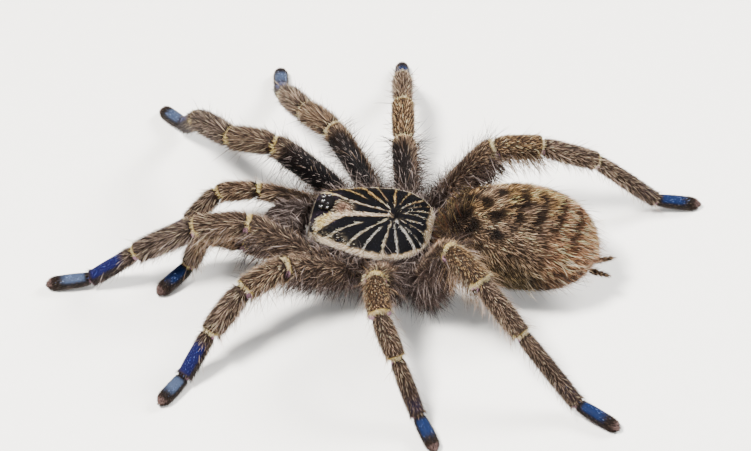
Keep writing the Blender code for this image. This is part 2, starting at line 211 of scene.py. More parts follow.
class Mottle:
    """Smooth three-dimensional noise on a seeded lattice."""

    SIZE = 24

    def __init__(self, seed: int) -> None:
        """Fills the lattice."""
        self.lattice = np.random.default_rng(seed).random((self.SIZE,) * 3)

    def at(self, points: np.ndarray, grain: float) -> np.ndarray:
        """Reads the noise.

        Args:
            points: Places in millimetres.
            grain: Size of one patch in millimetres.

        Returns:
            A value from 0 to 1 for each place.
        """
        scaled = points / grain + 1000.0
        base = np.floor(scaled).astype(int)
        part = scaled - base
        part = part * part * (3 - 2 * part)
        total = np.zeros(points.shape[:-1])
        for corner in np.ndindex(2, 2, 2):
            index = (base + corner) % self.SIZE
            weight = np.prod(np.where(corner, part, 1 - part), axis=-1)
            total += weight * self.lattice[index[..., 0], index[..., 1], index[..., 2]]
        return total


MOTTLE = Mottle(SEED)


def corners_of(node: bpy.types.Object) -> np.ndarray:
    """Triangles of a solid, in millimetres, as triangle, corner, xyz."""
    mesh = node.data
    mesh.calc_loop_triangles()
    points = np.empty(len(mesh.vertices) * 3, np.float32)
    mesh.vertices.foreach_get("co", points)
    faces = np.empty(len(mesh.loop_triangles) * 3, np.int32)
    mesh.loop_triangles.foreach_get("vertices", faces)
    return points.reshape(-1, 3)[faces.reshape(-1, 3)].astype(float) / MM


def across_and_back(aim: np.ndarray) -> tuple[np.ndarray, np.ndarray]:
    """The level direction across an aim, and the one square to both, upwards."""
    across = unit(np.cross(UP, aim))
    return across, np.cross(aim, across)


def cross_section(
    corners: np.ndarray, origin: np.ndarray, aim: np.ndarray
) -> tuple[np.ndarray, float, float]:
    """Measures a solid where a plane cuts it.

    Args:
        corners: The solid's triangles.
        origin: A point of the plane.
        aim: The plane's normal.

    Returns:
        The middle of the cut, its half width and its half height.
    """
    across, back = across_and_back(aim)
    height = (corners - origin) @ aim
    found = []
    for i, j in ((0, 1), (1, 2), (2, 0)):
        cut = height[:, i] * height[:, j] < 0
        share = height[cut, i] / (height[cut, i] - height[cut, j])
        start = corners[cut, i]
        found.append(start + (corners[cut, j] - start) * share[:, None])
    points = np.concatenate(found) - origin
    x, z = points @ across, points @ back
    middle = origin + across * (x.max() + x.min()) / 2 + back * (z.max() + z.min()) / 2
    return middle, float(np.ptp(x)) / 2, float(np.ptp(z)) / 2


# Surfaces and what grows on them.


@dataclass
class Roots:
    """Places on a surface where hairs start."""

    at: np.ndarray
    normal: np.ndarray
    down: np.ndarray  # unit vectors along the rows, from the first to the last
    around: np.ndarray
    row: np.ndarray
    column: np.ndarray
    uv: np.ndarray
    streak: np.ndarray  # 0 to 1, shared by hairs that lie in line

    def __len__(self) -> int:
        """How many hairs start here."""
        return len(self.at)

    def where(self, keep: np.ndarray) -> Roots:
        """The roots that a mask keeps."""
        return Roots(*(getattr(self, name)[keep] for name in self.__dataclass_fields__))


@dataclass
class Surface:
    """Rows of points in millimetres, closed round each row, with the first and last rows capped."""

    points: np.ndarray
    uv_box: tuple[float, float, float, float] = (0.01, 0.01, 0.99, 0.99)
    STREAK, STRETCH = 0.14, 6.0  # mm across a streak, and how many times longer it is
    EVEN = (0.7548776662, 0.5698402910)  # steps that spread points evenly over a cell

    def __post_init__(self) -> None:
        """Works out the directions along, round and out of the surface."""
        down = np.gradient(self.points, axis=0)
        around = np.roll(self.points, -1, axis=1) - np.roll(self.points, 1, axis=1)
        self.down, self.around = unit(down), unit(around)
        normal = unit(np.cross(self.down, self.around))
        outward = self.points - self.points.mean(axis=1, keepdims=True)
        side = np.sign((normal * outward).sum(axis=-1).mean())
        self.normal = normal * side

    @property
    def rows(self) -> int:
        """How many rows there are."""
        return self.points.shape[0]

    @property
    def columns(self) -> int:
        """How many points a row has."""
        return self.points.shape[1]

    def grid(self) -> tuple[np.ndarray, np.ndarray]:
        """The row and column of each point."""
        rows = np.repeat(np.arange(self.rows, dtype=float)[:, None], self.columns, axis=1)
        columns = np.repeat(np.arange(self.columns, dtype=float)[None], self.rows, axis=0)
        return rows, columns

    def inset(self, depth: np.ndarray | float) -> Surface:
        """The same surface, further in by a depth, which may differ from row to row."""
        depth = np.broadcast_to(np.asarray(depth, float), (self.rows,))
        return Surface(self.points - self.normal * depth[:, None, None], self.uv_box)

    def scatter(self, rng: np.random.Generator, density: np.ndarray) -> Roots:
        """Picks roots at random.

        Args:
            rng: The seeded source of chance.
            density: Hairs for each square millimetre at each point of the grid.

        Returns:
            The roots, spread evenly within the density.
        """
        p = self.points
        q = np.roll(p, -1, axis=1)
        area = 0.5 * np.linalg.norm(np.cross(q[1:] - p[:-1], p[1:] - q[:-1]), axis=-1)
        reached = np.cumsum(area * (density[1:] + density[:-1]) / 2)
        count = int(reached[-1])
        spot = np.arange(count) + rng.random()
        cell = np.searchsorted(reached, spot * (reached[-1] / max(count, 1)) * (1 - 1e-9))
        row, column = np.divmod(np.minimum(cell, reached.size - 1), self.columns)
        u, v = ((spot * step + 0.15 * rng.random(count)) % 1 for step in self.EVEN)

        def read(values: np.ndarray) -> np.ndarray:
            """Values of the grid at the roots."""
            nxt = (column + 1) % self.columns
            top = values[row, column] * (1 - v)[:, None] + values[row, nxt] * v[:, None]
            low = values[row + 1, column] * (1 - v)[:, None] + values[row + 1, nxt] * v[:, None]
            return top * (1 - u)[:, None] + low * u[:, None]

        left, bottom, right, top = self.uv_box
        uv = np.stack(
            [
                left + (right - left) * (column + v) / self.columns,
                bottom + (top - bottom) * (row + u) / (self.rows - 1),
            ],
            axis=1,
        )
        step = np.linalg.norm(p[1:] - p[:-1], axis=-1).mean(axis=1)
        along = np.interp(row + u, np.arange(self.rows), np.concatenate([[0.0], np.cumsum(step)]))
        girth = np.linalg.norm(q - p, axis=-1).sum(axis=1).max()
        flat = np.stack([along / self.STRETCH, (column + v) / self.columns * girth, 0 * along], axis=1)
        return Roots(
            read(p),
            unit(read(self.normal)),
            unit(read(self.down)),
            unit(read(self.around)),
            row + u,
            column + v,
            uv,
            ramp(0.28, 0.72, MOTTLE.at(flat, self.STREAK)),
        )


@dataclass(frozen=True)
class Seta:
    """One kind of hair."""

    length: float
    width: float
    lift: float  # degrees off the skin at its root
    spread: float = 0.3  # share by which lengths differ
    lift_spread: float = 8.0
    bend: float = 0.12  # share of its length by which its tip turns back to the skin
    curl: float = 0.06  # share of its length by which its tip goes to one side
    wander: float = 12.0  # degrees to either side
    sway: float = 5.0  # degrees to either side that neighbours share
    steps: int = 1
    flat: float = 0.6  # thickness as a share of the width


class Coat:
    """A piece made of many hairs, each a closed thin spike of three sides."""

    ROOT_DEPTH = 0.08
    LOCK = 0.7  # mm across which neighbouring hairs lean the same way
    PATCH = 0.003  # size of one hair's patch on the unwrap
    FLOOR = 0.02

    def __init__(self, name: str, rng: np.random.Generator) -> None:
        """Starts an empty coat."""
        self.name = name
        self.rng = rng
        self.points: list[np.ndarray] = []
        self.faces: list[np.ndarray] = []
        self.tints: list[np.ndarray] = []
        self.uvs: list[np.ndarray] = []
        self.total = 0

    def grow(
        self,
        roots: Roots,
        seta: Seta,
        lie: np.ndarray,
        tint: np.ndarray,
        scale: np.ndarray | float = 1.0,
        tip: float = 1.25,
        base: float = 0.5,
    ) -> None:
        """Adds one hair at each root.

        Args:
            roots: Where the hairs start.
            seta: Their kind.
            lie: The direction that each lies in.
            tint: The colour of each.
            scale: Length of each as a share of the kind's.
            tip: Brightness at the tip, which partly paints a glint of light there.
            base: Brightness at the root, which partly paints the shade among the hairs.
        """
        rng, count, steps = self.rng, len(roots), seta.steps
        if not count:
            return
        tint = np.broadcast_to(tint, (count, 3))
        normal = roots.normal
        lie = unit(lie - normal * (lie * normal).sum(axis=1, keepdims=True))
        side = np.cross(lie, normal)
        sway = seta.sway * (MOTTLE.at(roots.at, self.LOCK) - 0.5) * 3.0
        turn = np.radians(rng.normal(0, seta.wander, count) + sway)[:, None]
        lie = lie * np.cos(turn) + side * np.sin(turn)
        side = np.cross(lie, normal)
        lift = np.radians(rng.normal(seta.lift, seta.lift_spread, count))
        length = seta.length * scale * rng.uniform(1 - seta.spread, 1 + seta.spread, count)
        curl = rng.normal(0, seta.curl, count)
        t = np.linspace(0, 1, steps + 1)
        out = np.sin(lift)[:, None] * t - seta.bend * t**2
        path = (
            lie[:, None] * (np.cos(lift)[:, None] * t)[..., None]
            + normal[:, None] * out[..., None]
            + side[:, None] * (curl[:, None] * t**2)[..., None]
        ) * length[:, None, None]
        path += (roots.at - normal * self.ROOT_DEPTH)[:, None]
        half = seta.width / 2 * (1 - 0.7 * t[:-1])
        ring = np.stack([-side, side, normal * 2 * seta.flat], axis=1)
        rings = path[:, :-1, None] + ring[:, None] * half[:, None, None]
        points = np.concatenate([rings.reshape(count, -1, 3), path[:, -1:]], axis=1)
        points[..., 2] = np.maximum(points[..., 2], self.FLOOR)
        each = 3 * steps + 1
        faces = [(0, 1, 2)]
        for k in range(steps):
            for c in range(3):
                a, b = 3 * k + (c + 1) % 3, 3 * k + c
                if k == steps - 1:
                    faces.append((a, b, each - 1))
                else:
                    faces += [(a, b, b + 3), (a, b + 3, a + 3)]
        start = self.total + np.arange(count) * each
        self.faces.append((start[:, None, None] + np.array(faces)).reshape(-1, 3))
        along = np.append(np.repeat(t[:-1], 3), 1.0)
        # Each hair darkens towards its root and lightens towards its tip: partly its own banding, partly
        # painted shade among the hairs and painted glints on the tips.
        bright = base + (tip - base) * along
        self.tints.append((tint[:, None] * bright[:, None]).reshape(-1, 3))
        patch = np.stack([np.append(np.tile([-0.5, 0.0, 0.5], steps), 0.0), along - 0.5], axis=1)
        self.uvs.append((roots.uv[:, None] + patch * self.PATCH).reshape(-1, 2))
        self.points.append(points.reshape(-1, 3))
        self.total += count * each

    def build(self, material: bpy.types.Material, slot: Slot) -> bpy.types.Object:
        """Makes the piece and sets it on the body.

        Args:
            material: Its finish.
            slot: The record's slot.

        Returns:
            The new piece.
        """
        faces = np.concatenate(self.faces)
        made = make_mesh(
            self.name,
            np.concatenate(self.points),
            faces,
            np.concatenate(self.tints),
            np.concatenate(self.uvs),
        )
        return dress(made, material, slot)


def make_mesh(
    name: str,
    points: np.ndarray,
    faces: np.ndarray,
    tints: np.ndarray | None = None,
    uvs: np.ndarray | None = None,
) -> bpy.types.Object:
    """Makes an object of triangles or quads.

    Args:
        name: The piece's name.
        points: Its points in millimetres.
        faces: Point numbers, three or four for each face.
        tints: A linear colour for each point.
        uvs: A place on the unwrap for each point.

    Returns:
        The object, in the scene.
    """
    mesh = bpy.data.meshes.new(name)
    each = faces.shape[1]
    mesh.vertices.add(len(points))
    mesh.vertices.foreach_set("co", (points * MM).astype(np.float32).ravel())
    mesh.loops.add(faces.size)
    mesh.loops.foreach_set("vertex_index", faces.astype(np.int32).ravel())
    mesh.polygons.add(len(faces))
    mesh.polygons.foreach_set("loop_start", np.arange(0, faces.size, each, dtype=np.int32))
    mesh.update(calc_edges=True)
    mesh.shade_smooth()
    if tints is not None:
        colours = np.concatenate([np.clip(tints, 0, 1), np.ones((len(tints), 1))], axis=1)
        layer = mesh.attributes.new("tint", "FLOAT_COLOR", "POINT")
        layer.data.foreach_set("color", colours.astype(np.float32).ravel())
    if uvs is not None:
        layer = mesh.uv_layers.new(name="OFBake")
        layer.uv.foreach_set("vector", uvs[faces.ravel()].astype(np.float32).ravel())
    made = bpy.data.objects.new(name, mesh)
    bpy.context.scene.collection.objects.link(made)
    return made


def dress(
    piece: bpy.types.Object, material: bpy.types.Material, slot: Slot, replaced: tuple[str, ...] = ()
) -> bpy.types.Object:
    """Gives a piece its finish, sets it on the body and hides the solids that it replaces.

    Args:
        piece: The piece.
        material: Its finish.
        slot: The record's slot; not used.
        replaced: The solids that it replaces.

    Returns:
        The piece.
    """
    piece.data.materials.append(material)
    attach(piece, BODY)
    slot.value
    if replaced:
        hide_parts(*replaced)
    LOG.info("%s: %d faces", piece.name, len(piece.data.polygons))
    return piece


def facing(points: np.ndarray, triangles: np.ndarray, outward: np.ndarray) -> np.ndarray:
    """The triangles, all turned over if they mostly face away from a direction."""
    a, b, c = (points[triangles[:, i]] for i in range(3))
    return triangles if (np.cross(b - a, c - a) * outward).sum() > 0 else triangles[:, ::-1]


class Shell:
    """A mesh joined from closed surfaces."""

    def __init__(self, name: str) -> None:
        """Starts an empty mesh."""
        self.name = name
        self.points: list[np.ndarray] = []
        self.faces: list[np.ndarray] = []
        self.tints: list[np.ndarray] = []
        self.total = 0

    def add(self, surface: Surface, tint: np.ndarray) -> None:
        """Adds a surface, capped at both ends.

        Args:
            surface: The surface.
            tint: One colour, or one for each of its points.
        """
        tint = np.broadcast_to(tint, surface.points.shape)
        hubs = surface.points[[0, -1]].mean(axis=1)
        points = np.concatenate([surface.points.reshape(-1, 3), hubs])
        index = np.arange(surface.rows * surface.columns).reshape(surface.rows, -1)
        nxt = np.roll(index, -1, axis=1)
        near = np.stack([index[:-1], nxt[:-1], nxt[1:]], axis=-1).reshape(-1, 3)
        far = np.stack([index[:-1], nxt[1:], index[1:]], axis=-1).reshape(-1, 3)
        sides = np.concatenate([near, far])
        faces = [facing(points, sides, surface.normal.reshape(-1, 3)[sides[:, 0]])]
        for row, neighbour, hub in ((0, 1, len(points) - 2), (-1, -2, len(points) - 1)):
            cap = np.stack([index[row], nxt[row], np.full(surface.columns, hub)], axis=1)
            outward = points[hub] - surface.points[neighbour].mean(axis=0)
            faces.append(facing(points, cap, outward))
        self.faces += [part + self.total for part in faces]
        self.points.append(points)
        self.tints += [tint.reshape(-1, 3), tint[[0, -1]].mean(axis=1)]
        self.total += len(points)

    def build(self) -> bpy.types.Object:
        """Makes the object."""
        return make_mesh(
            self.name,
            np.concatenate(self.points),
            np.concatenate(self.faces),
            np.concatenate(self.tints),
        )


def swept(path: np.ndarray, radius: np.ndarray, columns: int = 12) -> Surface:
    """A round tube along a path.

    Args:
        path: Its middle, in millimetres.
        radius: Its radius at each point of the path.
        columns: Points round it.

    Returns:
        The tube.
    """
    tangent = unit(np.gradient(path, axis=0))
    across = unit(np.cross(UP + [0.013, 0.0, 0.0], tangent))
    back = np.cross(tangent, across)
    turns = 2 * np.pi * np.arange(columns) / columns
    ring = across[:, None] * np.cos(turns)[:, None] + back[:, None] * np.sin(turns)[:, None]
    return Surface(path[:, None] + ring * np.asarray(radius)[:, None, None])


def ball(centre: np.ndarray, half: np.ndarray, rows: int = 16, columns: int = 24) -> Surface:
    """An ellipsoid whose poles point up and down."""
    turn = np.linspace(0.03, np.pi - 0.03, rows)[:, None]
    round_ = 2 * np.pi * np.arange(columns) / columns
    ring = np.stack(
        [
            np.sin(turn) * np.cos(round_),
            np.sin(turn) * np.sin(round_),
            np.broadcast_to(np.cos(turn), (rows, columns)),
        ],
        axis=-1,
    )
    return Surface(centre + ring * half)


# Limbs.

SEGMENTS = ("coxa", "femur", "patella", "tibia", "metatarsus", "tarsus")
COXA, FEMUR, PATELLA, TIBIA, METATARSUS, TARSUS = range(6)
# Share of a segment's length and of its fullest section.
PROFILES = {
    COXA: ((0.0, 0.5, 1.0), (0.75, 1.0, 0.92)),
    FEMUR: ((0.0, 0.12, 0.35, 0.65, 0.9, 1.0), (0.80, 0.90, 0.99, 1.01, 0.95, 0.93)),
    PATELLA: ((0.0, 0.15, 0.45, 0.75, 0.92, 1.0), (0.86, 0.95, 1.0, 1.01, 0.97, 0.96)),
    TIBIA: ((0.0, 0.15, 0.45, 0.75, 0.92, 1.0), (0.84, 0.95, 1.01, 0.98, 0.91, 0.90)),
    METATARSUS: ((0.0, 0.2, 0.5, 0.8, 1.0), (0.90, 0.97, 1.0, 0.97, 0.90)),
    TARSUS: ((0.0, 0.15, 0.4, 0.7, 0.88, 0.96, 1.0), (0.84, 0.93, 1.0, 0.98, 0.86, 0.68, 0.36)),
}
COAT_DEPTH = {COXA: 0.30, FEMUR: 0.28, PATELLA: 0.20, TIBIA: 0.22, METATARSUS: 0.16, TARSUS: 0.12}
RIM = 0.20  # length of the pale rim at a segment's far end
MEMBRANE = 0.24  # half length of the pinched skin at a joint
SOFT_ABOVE, SOFT_BELOW = 0.08, 0.34  # half length of its bare skin on the back and underneath
ROW_STEP = 0.5
LIMB_COLUMNS = 28


@dataclass
class Segment:
    """One solid of a limb, measured."""

    corners: np.ndarray
    point: np.ndarray
    aim: np.ndarray
    half_width: float = 0.0
    half_height: float = 0.0

    @classmethod
    def measure(cls, node: bpy.types.Object, towards: np.ndarray) -> Segment:
        """Finds the centre line of a solid from its cross-sections.

        Args:
            node: The solid.
            towards: Roughly the way to its far end.

        Returns:
            The segment.
        """
        corners = corners_of(node)
        flat = corners.reshape(-1, 3)
        point = flat.mean(axis=0)
        aim = np.linalg.svd(flat - point, full_matrices=False)[2][0]
        aim = aim * np.sign(aim @ towards)
        sections = []
        for _ in range(3):
            along = (flat - point) @ aim
            middle = point + aim * (along.max() + along.min()) / 2
            step = aim * 0.2 * np.ptp(along)
            sections = [cross_section(corners, middle + step * k, aim) for k in (-1, 0, 1)]
            point, aim = sections[1][0], unit(sections[2][0] - sections[0][0])
        return cls(corners, point, aim, max(s[1] for s in sections), max(s[2] for s in sections))

    def at_level(self, normal: np.ndarray, level: float) -> np.ndarray:
        """The point of the centre line that lies on a plane."""
        return self.point + self.aim * (level - self.point @ normal) / (self.aim @ normal)


def joint_of(near: Segment, far: Segment) -> np.ndarray:
    """The joint between two segments, on the plane midway between their cut faces."""
    normal = unit(near.aim + far.aim)
    level = ((near.corners @ normal).max() + (far.corners @ normal).min()) / 2
    return (near.at_level(normal, level) + far.at_level(normal, level)) / 2


@dataclass
class Zone:
    """Where points of a limb lie, for its markings and its coat."""

    segment: np.ndarray
    share: np.ndarray  # of the segment's length
    ahead: np.ndarray  # mm to the joint at its far end
    behind: np.ndarray  # mm from the joint at its near end
    dorsal: np.ndarray  # 1 on the back and -1 underneath
    rear: np.ndarray  # 1 on the side that faces the tail on a leg held straight out

    def on(self, *segments: int) -> np.ndarray:
        """1 on these segments and 0 elsewhere."""
        return np.isin(self.segment, segments).astype(float)

    def soft(self) -> np.ndarray:
        """Half length of the bare skin at a joint, which widens underneath."""
        return SOFT_ABOVE + (SOFT_BELOW - SOFT_ABOVE) * ramp(0.75, 0.0, self.dorsal)

    def rim(self) -> np.ndarray:
        """1 on the pale rim at the far end of femur, patella and tibia."""
        edge = 1 - ramp(0.0, 0.10, self.ahead - self.soft() - RIM)
        return self.on(FEMUR, PATELLA, TIBIA) * edge * ramp(-0.35, 0.15, self.dorsal)

    def membrane(self) -> np.ndarray:
        """1 on the soft skin at the joints."""
        near = np.minimum(self.ahead, self.behind)
        return self.on(FEMUR, PATELLA, TIBIA, METATARSUS) * (1 - ramp(0.0, 0.08, near - self.soft()))


class Limb:
    """A leg or palp: its centre line, skin and coat."""

    def __init__(self, name: str, side: Side, nodes: dict[str, bpy.types.Object]) -> None:
        """Measures the limb's solids.

        Args:
            name: Such as leg_1 or palp.
            side: The side of the animal.
            nodes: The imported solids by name.
        """
        self.name, self.side = name, side
        self.kinds = [FEMUR, PATELLA, TIBIA, METATARSUS, TARSUS]
        if name == "palp":
            self.kinds.remove(METATARSUS)
        self.node_names = [f"{name}_{side.value}_{SEGMENTS[kind]}" for kind in self.kinds]
        solids = [nodes[node_name] for node_name in self.node_names]
        middles = [corners_of(solid).reshape(-1, 3).mean(axis=0) for solid in solids]
        steps = [b - a for a, b in zip(middles, middles[1:])]
        parts = [Segment.measure(s, way) for s, way in zip(solids, [*steps, steps[-1]])]
        joints = [joint_of(a, b) for a, b in zip(parts, parts[1:])]
        first, last = parts[0], parts[-1]
        root = self.coxa_root(first, nodes["sternum_and_coxae"])
        normal = unit(unit(first.point - root) + first.aim)
        hip = first.at_level(normal, (first.corners @ normal).min())
        tip = last.at_level(last.aim, (last.corners @ last.aim).max())
        self.kinds.insert(0, COXA)
        self.joints = [root, hip, *joints, tip]
        coxa_half = self.COXA_SHARE * first.half_height
        self.halves = [(coxa_half, coxa_half)] + [(p.half_width, p.half_height) for p in parts]
        self.rows = self.lay_rows()
        self.skin = self.make_skin()

    COXA_SHARE = 1.0  # its half thickness, as a share of the femur's
    COXA_ROOT_OUT = 1.6
    COXA_ROOT_UP = 4.3
    COXA_CROWDING = 0.62

    def coxa_root(self, femur: Segment, underside: bpy.types.Object) -> np.ndarray:
        """Inner end of the coxa, nearer the middle of the sternum than the hip is."""
        flat = corners_of(underside).reshape(-1, 3)
        middle = (flat.max(axis=0) + flat.min(axis=0)) / 2
        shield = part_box("carapace")
        middle_x = (shield[0].x + shield[1].x) / 2 / MM
        start = femur.at_level(femur.aim, (femur.corners @ femur.aim).min())
        y = middle[1] + self.COXA_CROWDING * (start[1] - middle[1])
        return np.array([middle_x + self.side.sign * self.COXA_ROOT_OUT, y, self.COXA_ROOT_UP])

    def fillet(self, i: int) -> float:
        """How far from a joint its bend starts, so that the inside of the bend doesn't fold."""
        a, b, c = self.joints[i - 1 : i + 2]
        half_bend = math.acos(np.clip(unit(b - a) @ unit(c - b), -1, 1)) / 2
        radius = max(self.halves[i - 1][1], self.halves[i][1])
        wanted = 0.5 + radius * (0.15 + 1.1 * math.sin(half_bend) / math.cos(half_bend) ** 2)
        return min(wanted, 0.45 * min(np.linalg.norm(b - a), np.linalg.norm(c - b)))

    def lay_rows(self) -> dict[str, np.ndarray]:
        """Sets the rings along the limb, close together at the joints."""
        found: dict[str, list] = {k: [] for k in ("at", "aim", "part", "share", "ahead", "behind")}
        count = len(self.kinds)
        fillets = [0.0] + [self.fillet(i) for i in range(1, count)] + [0.0]

        def put(at: np.ndarray, aim: np.ndarray, part: int, along: float) -> None:
            """Adds one ring."""
            length = float(np.linalg.norm(self.joints[part + 1] - self.joints[part]))
            row = (at, aim, part, along / length, length - along, along)
            for key, value in zip(found, row):
                found[key].append(value)

        for i in range(count):
            start, end = self.joints[i], self.joints[i + 1]
            length = float(np.linalg.norm(end - start))
            aim = (end - start) / length
            stretch = length - fillets[i + 1] - fillets[i]
            for along in np.linspace(fillets[i], length - fillets[i + 1], max(3, round(stretch / ROW_STEP))):
                put(start + aim * along, aim, i, along)
            if i == count - 1:
                continue
            reach = fillets[i + 1]
            onward = unit(self.joints[i + 2] - end)
            marks = (MEMBRANE * 0.85, MEMBRANE * 1.15, MEMBRANE + RIM * 0.5, MEMBRANE + RIM)
            offsets = [m for m in (*marks, 0.9, 1.4, 1.9, 2.4) if m < reach * 0.93]
            for offset in [-m for m in reversed(offsets)] + [0.0] + offsets:
                t = 0.5 + offset / (2 * reach)
                at = end - aim * reach * (1 - t) ** 2 + onward * reach * t**2
                turned = unit(aim * (1 - t) + onward * t)
                if offset <= 0:
                    put(at, turned, i, length + offset)
                else:
                    put(at, turned, i + 1, offset)
        return {key: np.array(values) for key, values in found.items()}

    def half_sizes(self, part: int, share: float) -> np.ndarray:
        """Half width and height of the skin at a share of a segment."""
        kind = self.kinds[part]
        fullness = float(through(np.array(share), *PROFILES[kind]))
        return np.array(self.halves[part]) * fullness - COAT_DEPTH[kind]

    LIP = 0.09  # how far the rim at a segment's far end stands out

    def make_skin(self) -> Surface:
        """The skin's rings, pinched at the joints, with a rounded tip."""
        rows = self.rows
        sizes = np.array([self.half_sizes(p, s) for p, s in zip(rows["part"], rows["share"])])
        lip = (rows["ahead"] >= MEMBRANE) & (rows["ahead"] < MEMBRANE + 1.5 * RIM)
        sizes[lip & (rows["part"] < len(self.kinds) - 1)] += self.LIP
        for i in range(1, len(self.kinds)):
            near = self.half_sizes(i - 1, 1.0)
            far = self.half_sizes(i, 0.0)
            pinch = 0.90 * np.minimum(near, far)
            soft = (rows["part"] == i) & (rows["behind"] < MEMBRANE)
            soft |= (rows["part"] == i - 1) & (rows["ahead"] < MEMBRANE)
            sizes[soft] = pinch
        across, back = across_and_back(rows["aim"])
        turns = 2 * np.pi * np.arange(LIMB_COLUMNS) / LIMB_COLUMNS
        ring = (
            across[:, None] * (sizes[:, 0, None] * np.cos(turns))[..., None]
            + back[:, None] * (sizes[:, 1, None] * np.sin(turns))[..., None]
        )
        points = rows["at"][:, None] + ring
        points[..., 2] = np.maximum(points[..., 2], 0.06)
        return Surface(points)

    def zone(self, row: np.ndarray, column: np.ndarray) -> Zone:
        """Says where places of the skin's grid lie.

        Args:
            row: Rows, which may fall between two.
            column: Columns, likewise.

        Returns:
            Their zone.
        """
        rows = self.rows
        low = np.clip(np.floor(row).astype(int), 0, len(rows["part"]) - 1)
        high = np.minimum(low + 1, len(rows["part"]) - 1)
        part = row - low
        same = rows["part"][low] == rows["part"][high]
        nearest = np.where(part < 0.5, low, high)

        def read(name: str) -> np.ndarray:
            """A row's value, between rows where both are of one segment."""
            values = rows[name]
            return np.where(same, values[low] * (1 - part) + values[high] * part, values[nearest])

        turn = 2 * np.pi * column / LIMB_COLUMNS
        segment = np.array(self.kinds)[rows["part"][nearest]]
        rear = np.cos(turn) * self.side.sign
        return Zone(segment, read("share"), read("ahead"), read("behind"), np.sin(turn), rear)


@dataclass(frozen=True)
class LimbLook:
    """How one pair of limbs differs from the others."""

    warmth: float  # 0 greyish brown, 1 tan
    bare: float  # how bare the front face of its femur is
    violet: float  # how much of its metatarsus is violet
    foot: Tone
    fringe: float  # fullness of the long fringe
    skirt: tuple[float, float]  # hairs hanging below femur and patella, for each square millimetre
    lengths: tuple[float, ...]  # of the short hairs from coxa to tarsus
    gold: float = 0.0  # how golden its patella is
    shaggy: float = 0.0  # how much of its long hair also grows on the front side, and past the patella
    dusk: float = 0.0  # how dark its femur is
    shade: float = 1.0  # brightness of its short hairs


FRONT_LENGTHS = (1.4, 1.60, 1.35, 1.30, 0.95, 0.45)
REAR_LENGTHS = (1.4, 1.40, 0.70, 0.85, 0.85, 0.45)
LOOKS = {
    "palp": LimbLook(0.45, 0.3, 0.0, Tone.BLUE, 1.0, (4.0, 1.0), FRONT_LENGTHS),
    "leg_1": LimbLook(0.20, 1.0, 1.0, Tone.PALE_BLUE, 1.0, (8.0, 2.0), FRONT_LENGTHS, dusk=0.45, shade=0.76),
    "leg_2": LimbLook(0.50, 1.0, 1.0, Tone.PALE_BLUE, 1.0, (9.0, 2.0), FRONT_LENGTHS, dusk=0.7, shade=0.92),
    "leg_3": LimbLook(
        0.75, 0.8, 0.30, Tone.BLUE, 0.5, (12.0, 0.5), REAR_LENGTHS, gold=0.35, dusk=0.9, shaggy=0.5
    ),
    "leg_4": LimbLook(
        0.65, 0.0, 0.10, Tone.BLUE, 0.7, (17.0, 8.0), REAR_LENGTHS, gold=0.5, dusk=0.9, shaggy=1.0
    ),
}


